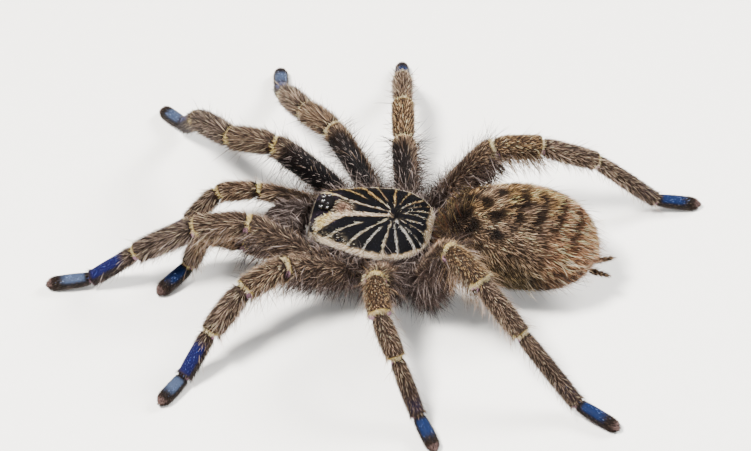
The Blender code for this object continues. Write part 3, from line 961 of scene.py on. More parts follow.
class LimbCoat:
    """The markings and hairs of one limb."""

    UNDER = Seta(0.85, 0.062, 30.0, lift_spread=8.0, wander=9.0, sway=2.0)
    OVER = Seta(1.0, 0.088, 37.0, spread=0.25, lift_spread=7.0, bend=0.10, wander=6.0, sway=1.0)
    LONG = Seta(2.4, 0.080, 46.0, bend=0.28, curl=0.14, wander=18.0, steps=3)
    SKIRT = Seta(4.0, 0.090, 32.0, bend=0.10, curl=0.12, wander=14.0, steps=3)
    FAN = Seta(3.6, 0.085, 50.0, bend=0.14, curl=0.12, wander=16.0, steps=3)
    CURLY = Seta(3.0, 0.075, 48.0, bend=0.30, curl=0.50, wander=50.0, steps=4)
    BRISTLE = Seta(2.5, 0.080, 52.0, bend=0.14, steps=2)
    RIM = Seta(0.68, 0.070, 56.0, lift_spread=9.0, wander=14.0)
    SCALE = Seta(0.46, 0.085, 13.0, lift_spread=7.0, wander=12.0, flat=0.3)
    SCOPULA = Seta(0.52, 0.055, 48.0, wander=25.0)
    TUFT = Seta(0.60, 0.065, 34.0, wander=26.0, bend=0.25, steps=2)
    UNDER_DENSITY, OVER_DENSITY = 34.0, 9.0
    STRIPE_AT = 0.30  # a bald stripe lies this far, as a share of the width, from the top's middle
    STRIPE_HALF = 0.06
    FLECK = 0.12  # share of the hairs on a bare front face that are pale

    def __init__(self, limb: Limb, rng: np.random.Generator) -> None:
        """Reads the limb's zones over its whole skin."""
        self.limb, self.rng = limb, rng
        self.look = LOOKS[limb.name]
        self.zone = limb.zone(*limb.skin.grid())

    def blue(self, zone: Zone) -> np.ndarray:
        """1 on the blue top of the foot and the violet top of the metatarsus."""
        start = 0.16 if self.look.violet > 0.5 else 0.62
        shank = zone.on(METATARSUS) * ramp(start, start + 0.12, zone.share) * self.look.violet
        shank = shank * (1 - ramp(0.86, 0.97, zone.share)) * ramp(0.10, 0.45, zone.dorsal)
        foot = zone.on(TARSUS) * ramp(0.06, 0.16, zone.share) * (1 - ramp(0.55, 0.72, zone.share))
        return np.minimum(shank + foot * ramp(0.35, 0.65, zone.dorsal), 1.0)

    def bare(self, zone: Zone) -> np.ndarray:
        """1 where the femur's front face is nearly bare and black."""
        over_top = 0.20 + 0.9 * (1 - zone.share) if self.limb.side is Side.RIGHT else -0.4
        front = ramp(-0.15, 0.40, -zone.rear + over_top * zone.dorsal)
        near_body = 1 - ramp(0.55, 0.98, zone.share)
        return self.look.bare * zone.on(FEMUR) * front * near_body

    def stripes(self, zone: Zone) -> np.ndarray:
        """1 on the two bald stripes along the top of patella and tibia."""
        off = np.abs(np.abs(zone.rear) - self.STRIPE_AT)
        line = 1 - ramp(self.STRIPE_HALF * 0.6, self.STRIPE_HALF * 1.2, off)
        return line * zone.on(PATELLA, TIBIA) * ramp(0.2, 0.5, zone.dorsal)

    def skin_tint(self) -> np.ndarray:
        """Colour of the skin at each point of its grid."""
        zone, look, points = self.zone, self.look, self.limb.skin.points
        grain = MOTTLE.at(points, 0.45)
        tint = blend(Tone.CUTICLE.rgb, Tone.UMBER.rgb, 0.35 * grain + 0.35 * look.warmth)
        tint = blend(tint, Tone.CUTICLE_BLACK.rgb, self.bare(zone))
        tint = blend(tint, Tone.BROWN.rgb, 0.15 * self.stripes(zone))
        tint = blend(tint, Tone.CUTICLE_BLACK.rgb, 0.8 * zone.on(TARSUS))
        blue = self.blue(zone)
        foot = blend(Tone.VIOLET.rgb, look.foot.rgb, zone.on(TARSUS))
        tint = blend(tint, foot * 0.12, blue)
        tint = blend(tint, Tone.RIM_GOLD.rgb * 0.4, zone.rim() * ramp(0.3, 0.6, grain))
        low = ramp(0.75, -0.1, zone.dorsal) * np.maximum(ramp(-0.3, 0.2, zone.rear), look.shaggy > 0)
        soft = blend(Tone.UMBER.rgb, Tone.MEMBRANE.rgb, low)
        return blend(tint, soft, zone.membrane())

    def hair_tint(self, zone: Zone, light: float, streak: np.ndarray | float = 0.5) -> np.ndarray:
        """Colours of brown hairs, each a little lighter or darker than the next.

        Args:
            zone: Where they grow.
            light: 0 for mostly dark and 1 for mostly pale.
            streak: 0 where a dark streak lies and 1 where a pale one does.

        Returns:
            A colour for each.
        """
        count = len(zone.share)
        middle = blend(Tone.BROWN.rgb * 0.5, Tone.TAN.rgb * 1.15, 0.06 + 0.94 * light)
        grey = 0.5 * (1 - self.look.warmth) + 0.25 * zone.on(TIBIA, METATARSUS)
        cool = blend(middle, Tone.GREY.rgb * (0.30 + 0.35 * light), grey)
        gold = self.look.gold * zone.on(PATELLA) * ramp(0.2, 0.8, zone.dorsal)
        tint = blend(cool, Tone.GOLD.rgb * (0.25 + 0.75 * light), gold)
        bright = (0.55 + 0.8 * np.broadcast_to(streak, count)) * self.rng.uniform(0.65, 1.35, count)
        tint = tint * (bright * self.look.shade)[:, None]
        near_body = zone.on(COXA) + self.look.dusk * zone.on(FEMUR) * (1 - ramp(0.6, 0.95, zone.share))
        tint = blend(tint, Tone.DUSK.rgb * ((0.5 + 1.1 * light) * bright)[:, None], 0.85 * near_body)
        chance = self.rng.random(count)
        tint = blend(tint, Tone.BLACK.rgb, 0.85 * (chance < 0.35 - 0.30 * light))
        return blend(tint, Tone.CREAM.rgb, 0.60 * (chance > 0.98 - 0.12 * light) * (1 - 0.6 * near_body))

    def dusk(self, zone: Zone) -> np.ndarray:
        """Colours of the long dark hairs: near black with a few pale strands, browner on the patella."""
        chance = self.rng.random(len(zone.share))
        tint = blend(Tone.DUSK.rgb * 0.2, Tone.DUSK.rgb * 2.0, chance**2.5)
        tint = blend(tint, Tone.GREY.rgb * 1.2, 0.8 * (chance > 0.93))
        return blend(tint, Tone.TAN.rgb * (0.2 + 0.9 * chance)[:, None], 0.6 * zone.on(PATELLA))

    def spread(self, density: np.ndarray) -> tuple[Roots, Zone]:
        """Scatters roots and says where they lie."""
        roots = self.limb.skin.scatter(self.rng, density)
        return roots, self.limb.zone(roots.row, roots.column)

    def sag(self, roots: Roots, share: np.ndarray | float) -> np.ndarray:
        """Lies along the limb, turned towards the floor by a share."""
        return roots.down - UP * np.broadcast_to(share, len(roots))[:, None]

    def grow(self) -> Coat:
        """Grows the whole coat of brown hairs."""
        coat = Coat(f"coat_{self.limb.name}_{self.limb.side.value}", self.rng)
        zone, look = self.zone, self.look
        cover = (1 - zone.membrane()) * (1 - self.blue(zone))
        upper = np.select([zone.segment == COXA, zone.segment == TARSUS], [0.5, 1.0], 1.0)
        cover = upper * cover * (1 - 0.55 * self.bare(zone))
        for seta, density, light, tip in (
            (self.UNDER, self.UNDER_DENSITY, 0.08, 1.4),
            (self.OVER, self.OVER_DENSITY * (1 - 0.5 * self.stripes(zone)), 0.55 + 0.3 * look.warmth, 2.0),
        ):
            roots, spots = self.spread(density * cover)
            length = np.array(look.lengths)[spots.segment]
            room = np.maximum(spots.ahead - spots.soft() - RIM + 0.12, 0.22)
            room = room + 1.2 * ramp(0.1, -0.4, spots.dorsal)
            length = np.where(spots.on(FEMUR, PATELLA, TIBIA) > 0, np.minimum(length, room), length)
            bare = self.bare(spots)
            tint = self.hair_tint(spots, light, roots.streak)
            fleck = self.rng.random(len(roots)) < self.FLECK
            tint = blend(tint, Tone.BLACK.rgb, ramp(0.08, 0.40, bare))
            tint = blend(tint, Tone.GREY.rgb * 0.9, ramp(0.3, 0.6, bare) * fleck)
            dark_end = min(look.violet + 0.3, 1.0) * ramp(0.1, 0.5, spots.share)
            foot = spots.on(TARSUS) + spots.on(METATARSUS) * dark_end
            tint = blend(tint, Tone.BLUE_BLACK.rgb * 1.5, 0.80 * foot)
            lie = self.sag(roots, 0.12 + 0.30 * look.fringe * spots.on(COXA, FEMUR))
            coat.grow(roots, seta, lie, tint, length * (1 - 0.5 * bare), tip=tip, base=0.05)

        tail = np.maximum(ramp(-0.4, 0.3, zone.rear), look.shaggy)
        side = (1 - ramp(0.0, 0.65, zone.dorsal)) * tail
        long = 3.0 * look.fringe * zone.on(FEMUR, PATELLA, TIBIA) * side * (1 - 0.8 * self.bare(zone))
        long = long * (1 - 0.7 * look.shaggy * zone.on(PATELLA) * ramp(-0.2, 0.2, zone.dorsal))
        long = long + (0.5 + 1.5 * look.shaggy) * zone.on(METATARSUS) * side
        long = long + 2.0 * look.shaggy * zone.on(TIBIA) * side
        roots, spots = self.spread(long * (1 - zone.membrane()))
        tint = blend(self.hair_tint(spots, 1.0), Tone.GREY.rgb * 1.3, self.rng.random(len(roots)) ** 2)
        coat.grow(roots, self.LONG, self.sag(roots, 0.55), tint, 1.0, tip=1.6, base=0.2)

        below = 1 - ramp(-0.2, 0.5, zone.dorsal)
        fan = look.skirt[0] * zone.on(FEMUR) + look.skirt[1] * zone.on(PATELLA)
        skirt = (fan + 0.7 * look.skirt[0] * look.shaggy * zone.on(COXA)) * below * tail
        roots, spots = self.spread(skirt * (1 - 0.5 * zone.membrane()) + 1e-6)
        size = 1.0 + 0.3 * spots.on(COXA)
        coat.grow(roots, self.SKIRT, roots.down * 0.6 - UP, self.dusk(spots), size, tip=1.7, base=0.15)

        sides = ramp(0.45, 0.85, np.abs(zone.rear)) * ramp(-0.9, -0.3, zone.dorsal) * tail
        sides = sides * (1 - zone.on(PATELLA) * ramp(-0.1, 0.2, zone.dorsal))
        roots, spots = self.spread(0.6 * fan * sides * (1 - self.bare(zone)) + 1e-6)
        coat.grow(roots, self.FAN, roots.down - UP * 0.9, self.dusk(spots), 1.0, tip=1.7, base=0.15)

        root = zone.on(COXA) * ramp(0.2, 0.5, zone.share) + zone.on(FEMUR) * (1 - ramp(0.1, 0.35, zone.share))
        roots, spots = self.spread((11.0 + 6.0 * look.shaggy) * root * (1 - 0.7 * self.bare(zone)))
        pale = blend(Tone.DUSK.rgb * 0.25, Tone.GREY.rgb * 1.8, self.rng.random(len(roots)) ** 8)
        coat.grow(roots, self.CURLY, self.sag(roots, 0.3), pale, 1.0, tip=1.5, base=0.15)

        bristly = zone.on(FEMUR, TIBIA) + (1 - look.shaggy) * zone.on(PATELLA)
        roots, spots = self.spread(0.5 * bristly * ramp(0.0, 0.5, zone.dorsal) + 1e-6)
        coat.grow(roots, self.BRISTLE, roots.down, self.hair_tint(spots, 0.8), 1.0)

        patchy = ramp(0.2, 0.6, MOTTLE.at(self.limb.skin.points, 0.5))
        roots, spots = self.spread(85.0 * patchy * zone.rim() * (1 - zone.membrane()) + 1e-6)
        creamy = self.rng.random(len(roots)) * 0.5 + 0.4 * (look.dusk > 0.5)
        gold = blend(Tone.RIM_GOLD.rgb, Tone.CREAM.rgb, creamy)
        gold = gold * self.rng.uniform(0.35, 1.3, len(roots))[:, None]
        coat.grow(roots, self.RIM, roots.down, gold, 1.0, base=0.2, tip=1.6)

        pad = zone.on(TARSUS) + zone.on(METATARSUS) * ramp(0.35, 0.6, zone.share)
        roots, spots = self.spread(40.0 * pad * (1 - ramp(-0.25, 0.3, zone.dorsal)))
        grey = blend(Tone.UMBER.rgb, Tone.GREY.rgb * 0.4, self.rng.random(len(roots)))
        coat.grow(roots, self.SCOPULA, roots.down, grey, 1.0, tip=1.3)

        roots, spots = self.spread(70.0 * zone.on(TARSUS) * ramp(0.66, 0.84, zone.share))
        lobes = ramp(0.0, 0.5, spots.dorsal) * ramp(0.80, 0.90, spots.share)
        tuft = blend(Tone.UMBER.rgb, Tone.TUFT.rgb, lobes * self.rng.uniform(0.4, 1.0, len(roots)))
        coat.grow(roots, self.TUFT, roots.down + roots.normal * 0.2, tuft, 1.0)
        return coat

    def grow_blue(self, coat: Coat, kind: int, strip: tuple[float, float]) -> None:
        """Lays the blue scale-like hairs of the foot or the violet ones of the shank.

        Args:
            coat: The piece that they join.
            kind: The segment that they grow on.
            strip: Start and width of the limb's strip on the unwrap.
        """
        roots, spots = self.spread(75.0 * self.blue(self.zone) * self.zone.on(kind) + 1e-6)
        roots.uv[:, 0] = strip[0] + strip[1] * roots.uv[:, 0]
        patch = MOTTLE.at(roots.at, 0.35)
        chance = self.rng.random(len(roots))
        shank = blend(Tone.VIOLET.rgb, Tone.BLUE.rgb, patch)
        foot = blend(Tone.BLUE.rgb, self.look.foot.rgb, 0.3 + 0.7 * patch)
        tint = blend(shank, foot, spots.on(TARSUS)) * self.rng.uniform(0.3, 1.5, len(roots))[:, None]
        # A few hairs are drawn pale blue: partly pale setae, partly painted glints of light on the blue.
        tint = blend(tint, Tone.PALE_BLUE.rgb * 1.2, 0.8 * (chance > 0.90 - 0.12 * spots.on(TARSUS)))
        tint = blend(tint, Tone.BLUE_BLACK.rgb, 0.9 * (chance < 0.42))
        edge = 1 - ramp(0.45, 0.85, spots.dorsal)
        tint = blend(tint, Tone.BLUE_BLACK.rgb, 0.8 * edge)
        coat.grow(roots, self.SCALE, roots.down, tint, 1.0, tip=1.5, base=0.15)


# Shield over the head and the legs' roots.


@dataclass(frozen=True)
class Ray:
    """A pale line of hairs on the shield."""

    angle: float  # degrees at the fovea, from straight ahead
    start: float  # mm from the fovea
    half_width: float  # mm
    tone: Tone
    near: float = 1.0  # share of that width on the animal's left


class Shield:
    """The carapace: a domed plate with its grooves, pale rays and fringe."""

    ROWS, TOP, BELOW = 120, 150, 18
    SINK = 0.94  # the plate lies this much lower than the solid, which holds its velvet too
    COAT = 0.16
    FOVEA_FROM_FRONT = 0.68
    RIM_SHARE = 0.16
    DOME_POWER = 1.12
    GROOVES = (38.0, 72.0, 108.0, 142.0)
    GROOVE_DEPTH = 0.16
    PIT_HALF = (1.0, 0.28)
    PIT_DEPTH = 0.5
    BAND_AHEAD = (0.0, 1.5, 4.0, 6.5, 8.5, 11.5)
    BAND_OUT = (0.15, 0.50, 0.85, 1.35, 2.3, 3.7)
    BAND_HALF = (0.10, 0.18, 0.32, 0.45, 0.80, 0.95)
    FAR_BAND = 0.30  # share of that width on the animal's right
    RAY_CURVE = 22.0  # degrees by which a ray turns outwards near the fovea
    RAYS = (
        Ray(29.0, 4.2, 0.10, Tone.CREAM),
        Ray(45.0, 0.8, 0.19, Tone.CREAM),
        Ray(61.0, 2.4, 0.11, Tone.WHITE),
        Ray(84.0, 0.9, 0.17, Tone.CREAM),
        Ray(104.0, 0.8, 0.11, Tone.WHITE),
        Ray(128.0, 0.6, 0.20, Tone.WHITE),
        Ray(140.0, 2.2, 0.08, Tone.WHITE, near=0.75),
        Ray(156.0, 0.8, 0.13, Tone.CREAM, near=0.1),
        Ray(172.0, 0.8, 0.10, Tone.CREAM, near=0.45),
    )
    VELVET = Seta(0.40, 0.060, 18.0)
    PALE = Seta(0.46, 0.060, 24.0, lift_spread=10.0, wander=15.0)
    FRINGE = Seta(0.9, 0.070, 26.0, bend=0.25, wander=20.0, steps=2)
    STRAY = Seta(1.7, 0.070, 38.0, bend=0.2, curl=0.25, wander=40.0, steps=3)

    def __init__(self, node: bpy.types.Object) -> None:
        """Measures the solid and makes the plate's surface."""
        corners = corners_of(node)
        low, high = corners.reshape(-1, 3).min(axis=0), corners.reshape(-1, 3).max(axis=0)
        self.length = high[1] - low[1]
        self.fovea = np.array([(low[0] + high[0]) / 2, low[1] + self.FOVEA_FROM_FRONT * self.length])
        self.floor = low[2]
        shares = 0.5 - 0.5 * np.cos(np.linspace(0.12, np.pi - 0.12, self.ROWS))
        shares = 0.6 * shares + 0.4 * np.linspace(0.004, 0.996, self.ROWS)
        top = np.pi * np.arange(self.TOP) / (self.TOP - 1)
        under = np.pi * (1 + (np.arange(self.BELOW) + 1) / (self.BELOW + 1))
        turn = np.concatenate([top, under])
        domed = self.RIM_SHARE + (1 - self.RIM_SHARE) * np.maximum(np.sin(turn), 0) ** self.DOME_POWER
        domed = np.where(np.arange(len(turn)) < self.TOP, domed, 0.0)
        rows = []
        self.half_widths, self.stations = [], []
        for share in shares:
            y = low[1] + share * self.length
            middle, half, tall = cross_section(
                corners, np.array([0.0, y, low[2]]), np.array([0.0, -1.0, 0.0])
            )
            self.half_widths.append(half)
            self.stations.append(y)
            x = middle[0] + half * np.cos(turn)
            rows.append(np.stack([x, np.full_like(x, y), low[2] + 2 * tall * domed * self.SINK], axis=1))
        points = self.carve(np.array(rows))
        self.surface = Surface(points).inset(self.COAT)

    def polar(self, points: np.ndarray) -> tuple[np.ndarray, np.ndarray, np.ndarray]:
        """Distance out, distance ahead of the fovea, and angle from straight ahead in degrees."""
        out = np.abs(points[..., 0] - self.fovea[0])
        ahead = self.fovea[1] - points[..., 1]
        return out, ahead, np.degrees(np.arctan2(out, ahead))

    def edge(self, points: np.ndarray) -> np.ndarray:
        """Distance inside the margin, in millimetres, measured level across."""
        half = np.interp(points[..., 1], self.stations, self.half_widths)
        out, ahead, _ = self.polar(points)
        rear = self.stations[-1] - points[..., 1]
        front = points[..., 1] - self.stations[0]
        return np.minimum(np.minimum(half - out, rear * 0.8), front * 0.8 + 0.35)

    def carve(self, points: np.ndarray) -> np.ndarray:
        """Presses the grooves and the fovea into the dome."""
        out, ahead, angle = self.polar(points)
        reach = np.hypot(out, ahead)
        top = points[..., 2] > self.floor + 0.9
        depth = np.zeros_like(out)
        for groove in self.GROOVES:
            off = reach * np.sin(np.radians(np.clip(angle - groove, -60, 60)))
            depth += self.GROOVE_DEPTH * np.exp(-((off / 0.55) ** 2)) * ramp(0.8, 2.5, reach)
        depth *= ramp(0.2, 1.2, self.edge(points))
        pit = np.exp(-((out / self.PIT_HALF[0]) ** 4) - ((ahead / self.PIT_HALF[1]) ** 2))
        points = points.copy()
        points[..., 2] -= np.where(top, depth + self.PIT_DEPTH * pit, 0.0)
        return points

    def marks(self, points: np.ndarray) -> tuple[np.ndarray, np.ndarray]:
        """The pale markings.

        Args:
            points: Places on the shield.

        Returns:
            Their strength from 0 to 1, and their colour.
        """
        out, ahead, angle = self.polar(points)
        reach = np.hypot(out, ahead)
        ragged = 0.20 * (MOTTLE.at(points, 0.5) - 0.5)
        edge = self.edge(points)
        strength = np.zeros_like(out)
        tint = np.broadcast_to(Tone.CREAM.rgb, points.shape).copy()
        for ray in self.RAYS:
            lean = self.RAY_CURVE * (1 - np.clip(reach / 5.0, 0, 1)) ** 2 * math.cos(math.radians(ray.angle))
            off = reach * np.sin(np.radians(np.clip(np.abs(angle - ray.angle - lean), 0, 60))) + ragged
            wide = ray.half_width * (0.34 + 0.075 * reach)
            wide = wide * np.where(points[..., 0] < self.fovea[0], 0.7, ray.near)
            line = (1 - ramp(wide - 0.04, wide + 0.05, off)) * ramp(ray.start, ray.start + 0.6, reach)
            tint = blend(tint, ray.tone.rgb, line)
            strength = np.maximum(strength, 0.95 * line)
        centre = through(ahead, self.BAND_AHEAD, self.BAND_OUT)
        half = through(ahead, self.BAND_AHEAD, self.BAND_HALF)
        far = points[..., 0] < self.fovea[0]
        half = np.where(far, self.FAR_BAND * half, half)
        band = 1 - ramp(half - 0.08, half + 0.10, np.abs(out - centre) + ragged)
        band *= ramp(0.0, 0.4, ahead) * (1 - ramp(9.9, 10.7, ahead + 2 * ragged))
        patchy = ramp(0.35, 0.65, MOTTLE.at(points, 0.8))
        along = blend(blend(Tone.CREAM.rgb, Tone.GOLD.rgb, 0.35) * 1.7, Tone.PINK.rgb * 1.6, 0.4)
        rear_gold = blend(Tone.GOLD.rgb, Tone.OLIVE.rgb, 0.35)
        rear_gold = blend(rear_gold, Tone.CREAM.rgb, 0.1 + 0.6 * patchy) * 1.4
        along = blend(along, rear_gold, ramp(6.0, 9.0, ahead))
        along = blend(along, Tone.GREY.rgb, 0.3 * far)
        tint = blend(tint, along, band)
        left = points[..., 0] - self.fovea[0]
        behind_eyes = 1 - ramp(0.4, 1.5, np.hypot((left - 0.30) * 0.8, (ahead - 6.8) / 1.2) + 2.0 * ragged)
        tint = blend(tint, Tone.PINK.rgb * (0.5 + patchy)[..., None], behind_eyes)
        strength = np.maximum(np.maximum(strength, band), 0.70 * behind_eyes)
        fringe = (1 - ramp(0.38, 0.80, edge + 1.6 * ragged)) * (1 - 0.4 * ramp(9.3, 10.0, ahead))
        warm = blend(Tone.CREAM.rgb, Tone.GOLD.rgb, 0.45) * 2.6
        tint = blend(tint, blend(warm, Tone.GREY.rgb, ramp(9.5, 11.0, ahead)), fringe)
        speckle = ramp(2.2, 1.0, edge) * ramp(3.5, 6.0, ahead) * (1 - ramp(9.0, 9.8, ahead))
        strength = np.maximum(strength, 0.30 * speckle * ramp(0.45, 0.70, MOTTLE.at(points, 0.22)))
        wall = 1 - ramp(0.25, 0.60, points[..., 2] - self.floor)
        tint = blend(tint, Tone.DUSK.rgb * 0.7, wall)
        fringe = fringe * (1 - 0.7 * wall)
        right = ramp(1.2, 3.0, self.fovea[0] - points[..., 0])
        tint = blend(tint, Tone.ORANGE.rgb, 0.75 * right * (1 - fringe) * (1 - band))
        return np.maximum(strength, fringe), tint

    def ground(self, points: np.ndarray) -> np.ndarray:
        """Colour of the dark ground between the pale lines."""
        out, ahead, _ = self.polar(points)
        tint = blend(Tone.BLACK.rgb, Tone.BLUE_BLACK.rgb, MOTTLE.at(points, 1.2))
        beside_eyes = ramp(0.8, 1.5, out) * (1 - ramp(2.6, 3.4, out)) * ramp(7.0, 8.2, ahead)
        return blend(tint, Tone.MAUVE.rgb, 0.8 * beside_eyes)

    def build(self, material: bpy.types.Material) -> None:
        """Makes the plate."""
        points = self.surface.points
        strength, tint = self.marks(points)
        shell = Shell("carapace_plate")
        shell.add(self.surface, blend(self.ground(points) * 0.2, tint * 0.15, 0.8 * strength))
        dress(shell.build(), material, Slot.SHIELD, ("carapace",))

    def grow(self, rng: np.random.Generator) -> Coat:
        """Grows the velvet, the pale lines and the fringe."""
        coat = Coat("coat_carapace", rng)
        surface = self.surface
        column = surface.grid()[1]
        top = (column < self.TOP - 1).astype(float)
        roots = surface.scatter(rng, 46.0 * top)
        strength, tint = self.marks(roots.at)
        dark = roots.where(rng.random(len(roots)) > 1.2 * strength)
        shine = rng.random(len(dark))[:, None] ** 12
        coat.grow(
            dark, self.VELVET, self.outwards(dark), self.ground(dark.at) * (0.5 + 14.0 * shine), base=0.2
        )
        roots = surface.scatter(rng, 110.0 * top)
        strength, tint = self.marks(roots.at)
        keep = rng.random(len(roots)) < 0.80 * strength
        pale, tint = roots.where(keep), tint[keep]
        tint = tint * rng.uniform(0.35, 1.6, len(pale))[:, None]
        coat.grow(pale, self.PALE, self.outwards(pale), tint, 1.0, base=0.4, tip=1.8)
        margin = 1 - ramp(0.20, 0.5, self.edge(surface.points))
        wall = 1 - ramp(0.35, 0.75, surface.points[..., 2] - self.floor)
        roots = surface.scatter(rng, 34.0 * margin * wall * (top + 0.2))
        front = ramp(9.3, 10.3, self.fovea[1] - roots.at[:, 1])
        share = rng.random(len(roots))
        tint = blend(Tone.DUSK.rgb * 0.4, Tone.GREY.rgb * 1.2, share ** (4.0 - 3.2 * front))
        strand = (rng.random(len(roots)) < 0.6)[:, None] * roots.down
        lie = self.outwards(roots) * (1 - 0.7 * np.abs(strand)) + strand - 0.5 * UP
        coat.grow(roots, self.FRINGE, lie, tint, 1.0 + 0.3 * front, base=0.15, tip=1.8)
        roots = surface.scatter(rng, 2.5 * margin * (top + 0.2))
        coat.grow(roots, self.STRAY, self.outwards(roots), Tone.GREY.rgb * 1.1, 1.0)
        return coat

    def outwards(self, roots: Roots) -> np.ndarray:
        """Away from the fovea, with a lean towards the head."""
        away = roots.at - np.append(self.fovea, 0.0)
        away[:, 2] = 0.0
        return unit(away) + np.array([0.0, -0.35, 0.0])


# Trunk: abdomen, core under the shield, jaws and spinnerets.


def sections_along(node: bpy.types.Object, towards: np.ndarray, shares: np.ndarray) -> tuple:
    """Measures a solid at shares of its length.

    Args:
        node: The solid.
        towards: Roughly the way to its far end.
        shares: Shares of its length, rising.

    Returns:
        The middles, half widths, half heights and the aim of its centre line.
    """
    whole = Segment.measure(node, towards)
    along = (whole.corners.reshape(-1, 3) - whole.point) @ whole.aim
    places = along.min() + shares * np.ptp(along)
    found = [cross_section(whole.corners, whole.point + whole.aim * at, whole.aim) for at in places]
    middles = np.array([f[0] for f in found])
    return middles, np.array([f[1] for f in found]), np.array([f[2] for f in found]), whole.aim


def ringed(
    middles: np.ndarray, widths: np.ndarray, heights: np.ndarray, aim: np.ndarray, columns: int
) -> Surface:
    """A surface of ellipses square to one aim."""
    across, back = across_and_back(aim)
    turns = 2 * np.pi * np.arange(columns) / columns
    ring = across * (widths[:, None] * np.cos(turns))[..., None] + back * (
        heights[:, None] * np.sin(turns)
    )[..., None]
    return Surface(middles[:, None] + ring)


def eased(rows: int, ends: float = 0.04) -> np.ndarray:
    """Shares of a rounded body's length, closer together towards its two ends."""
    return 0.5 - 0.5 * np.cos(np.linspace(ends, np.pi - ends, rows))


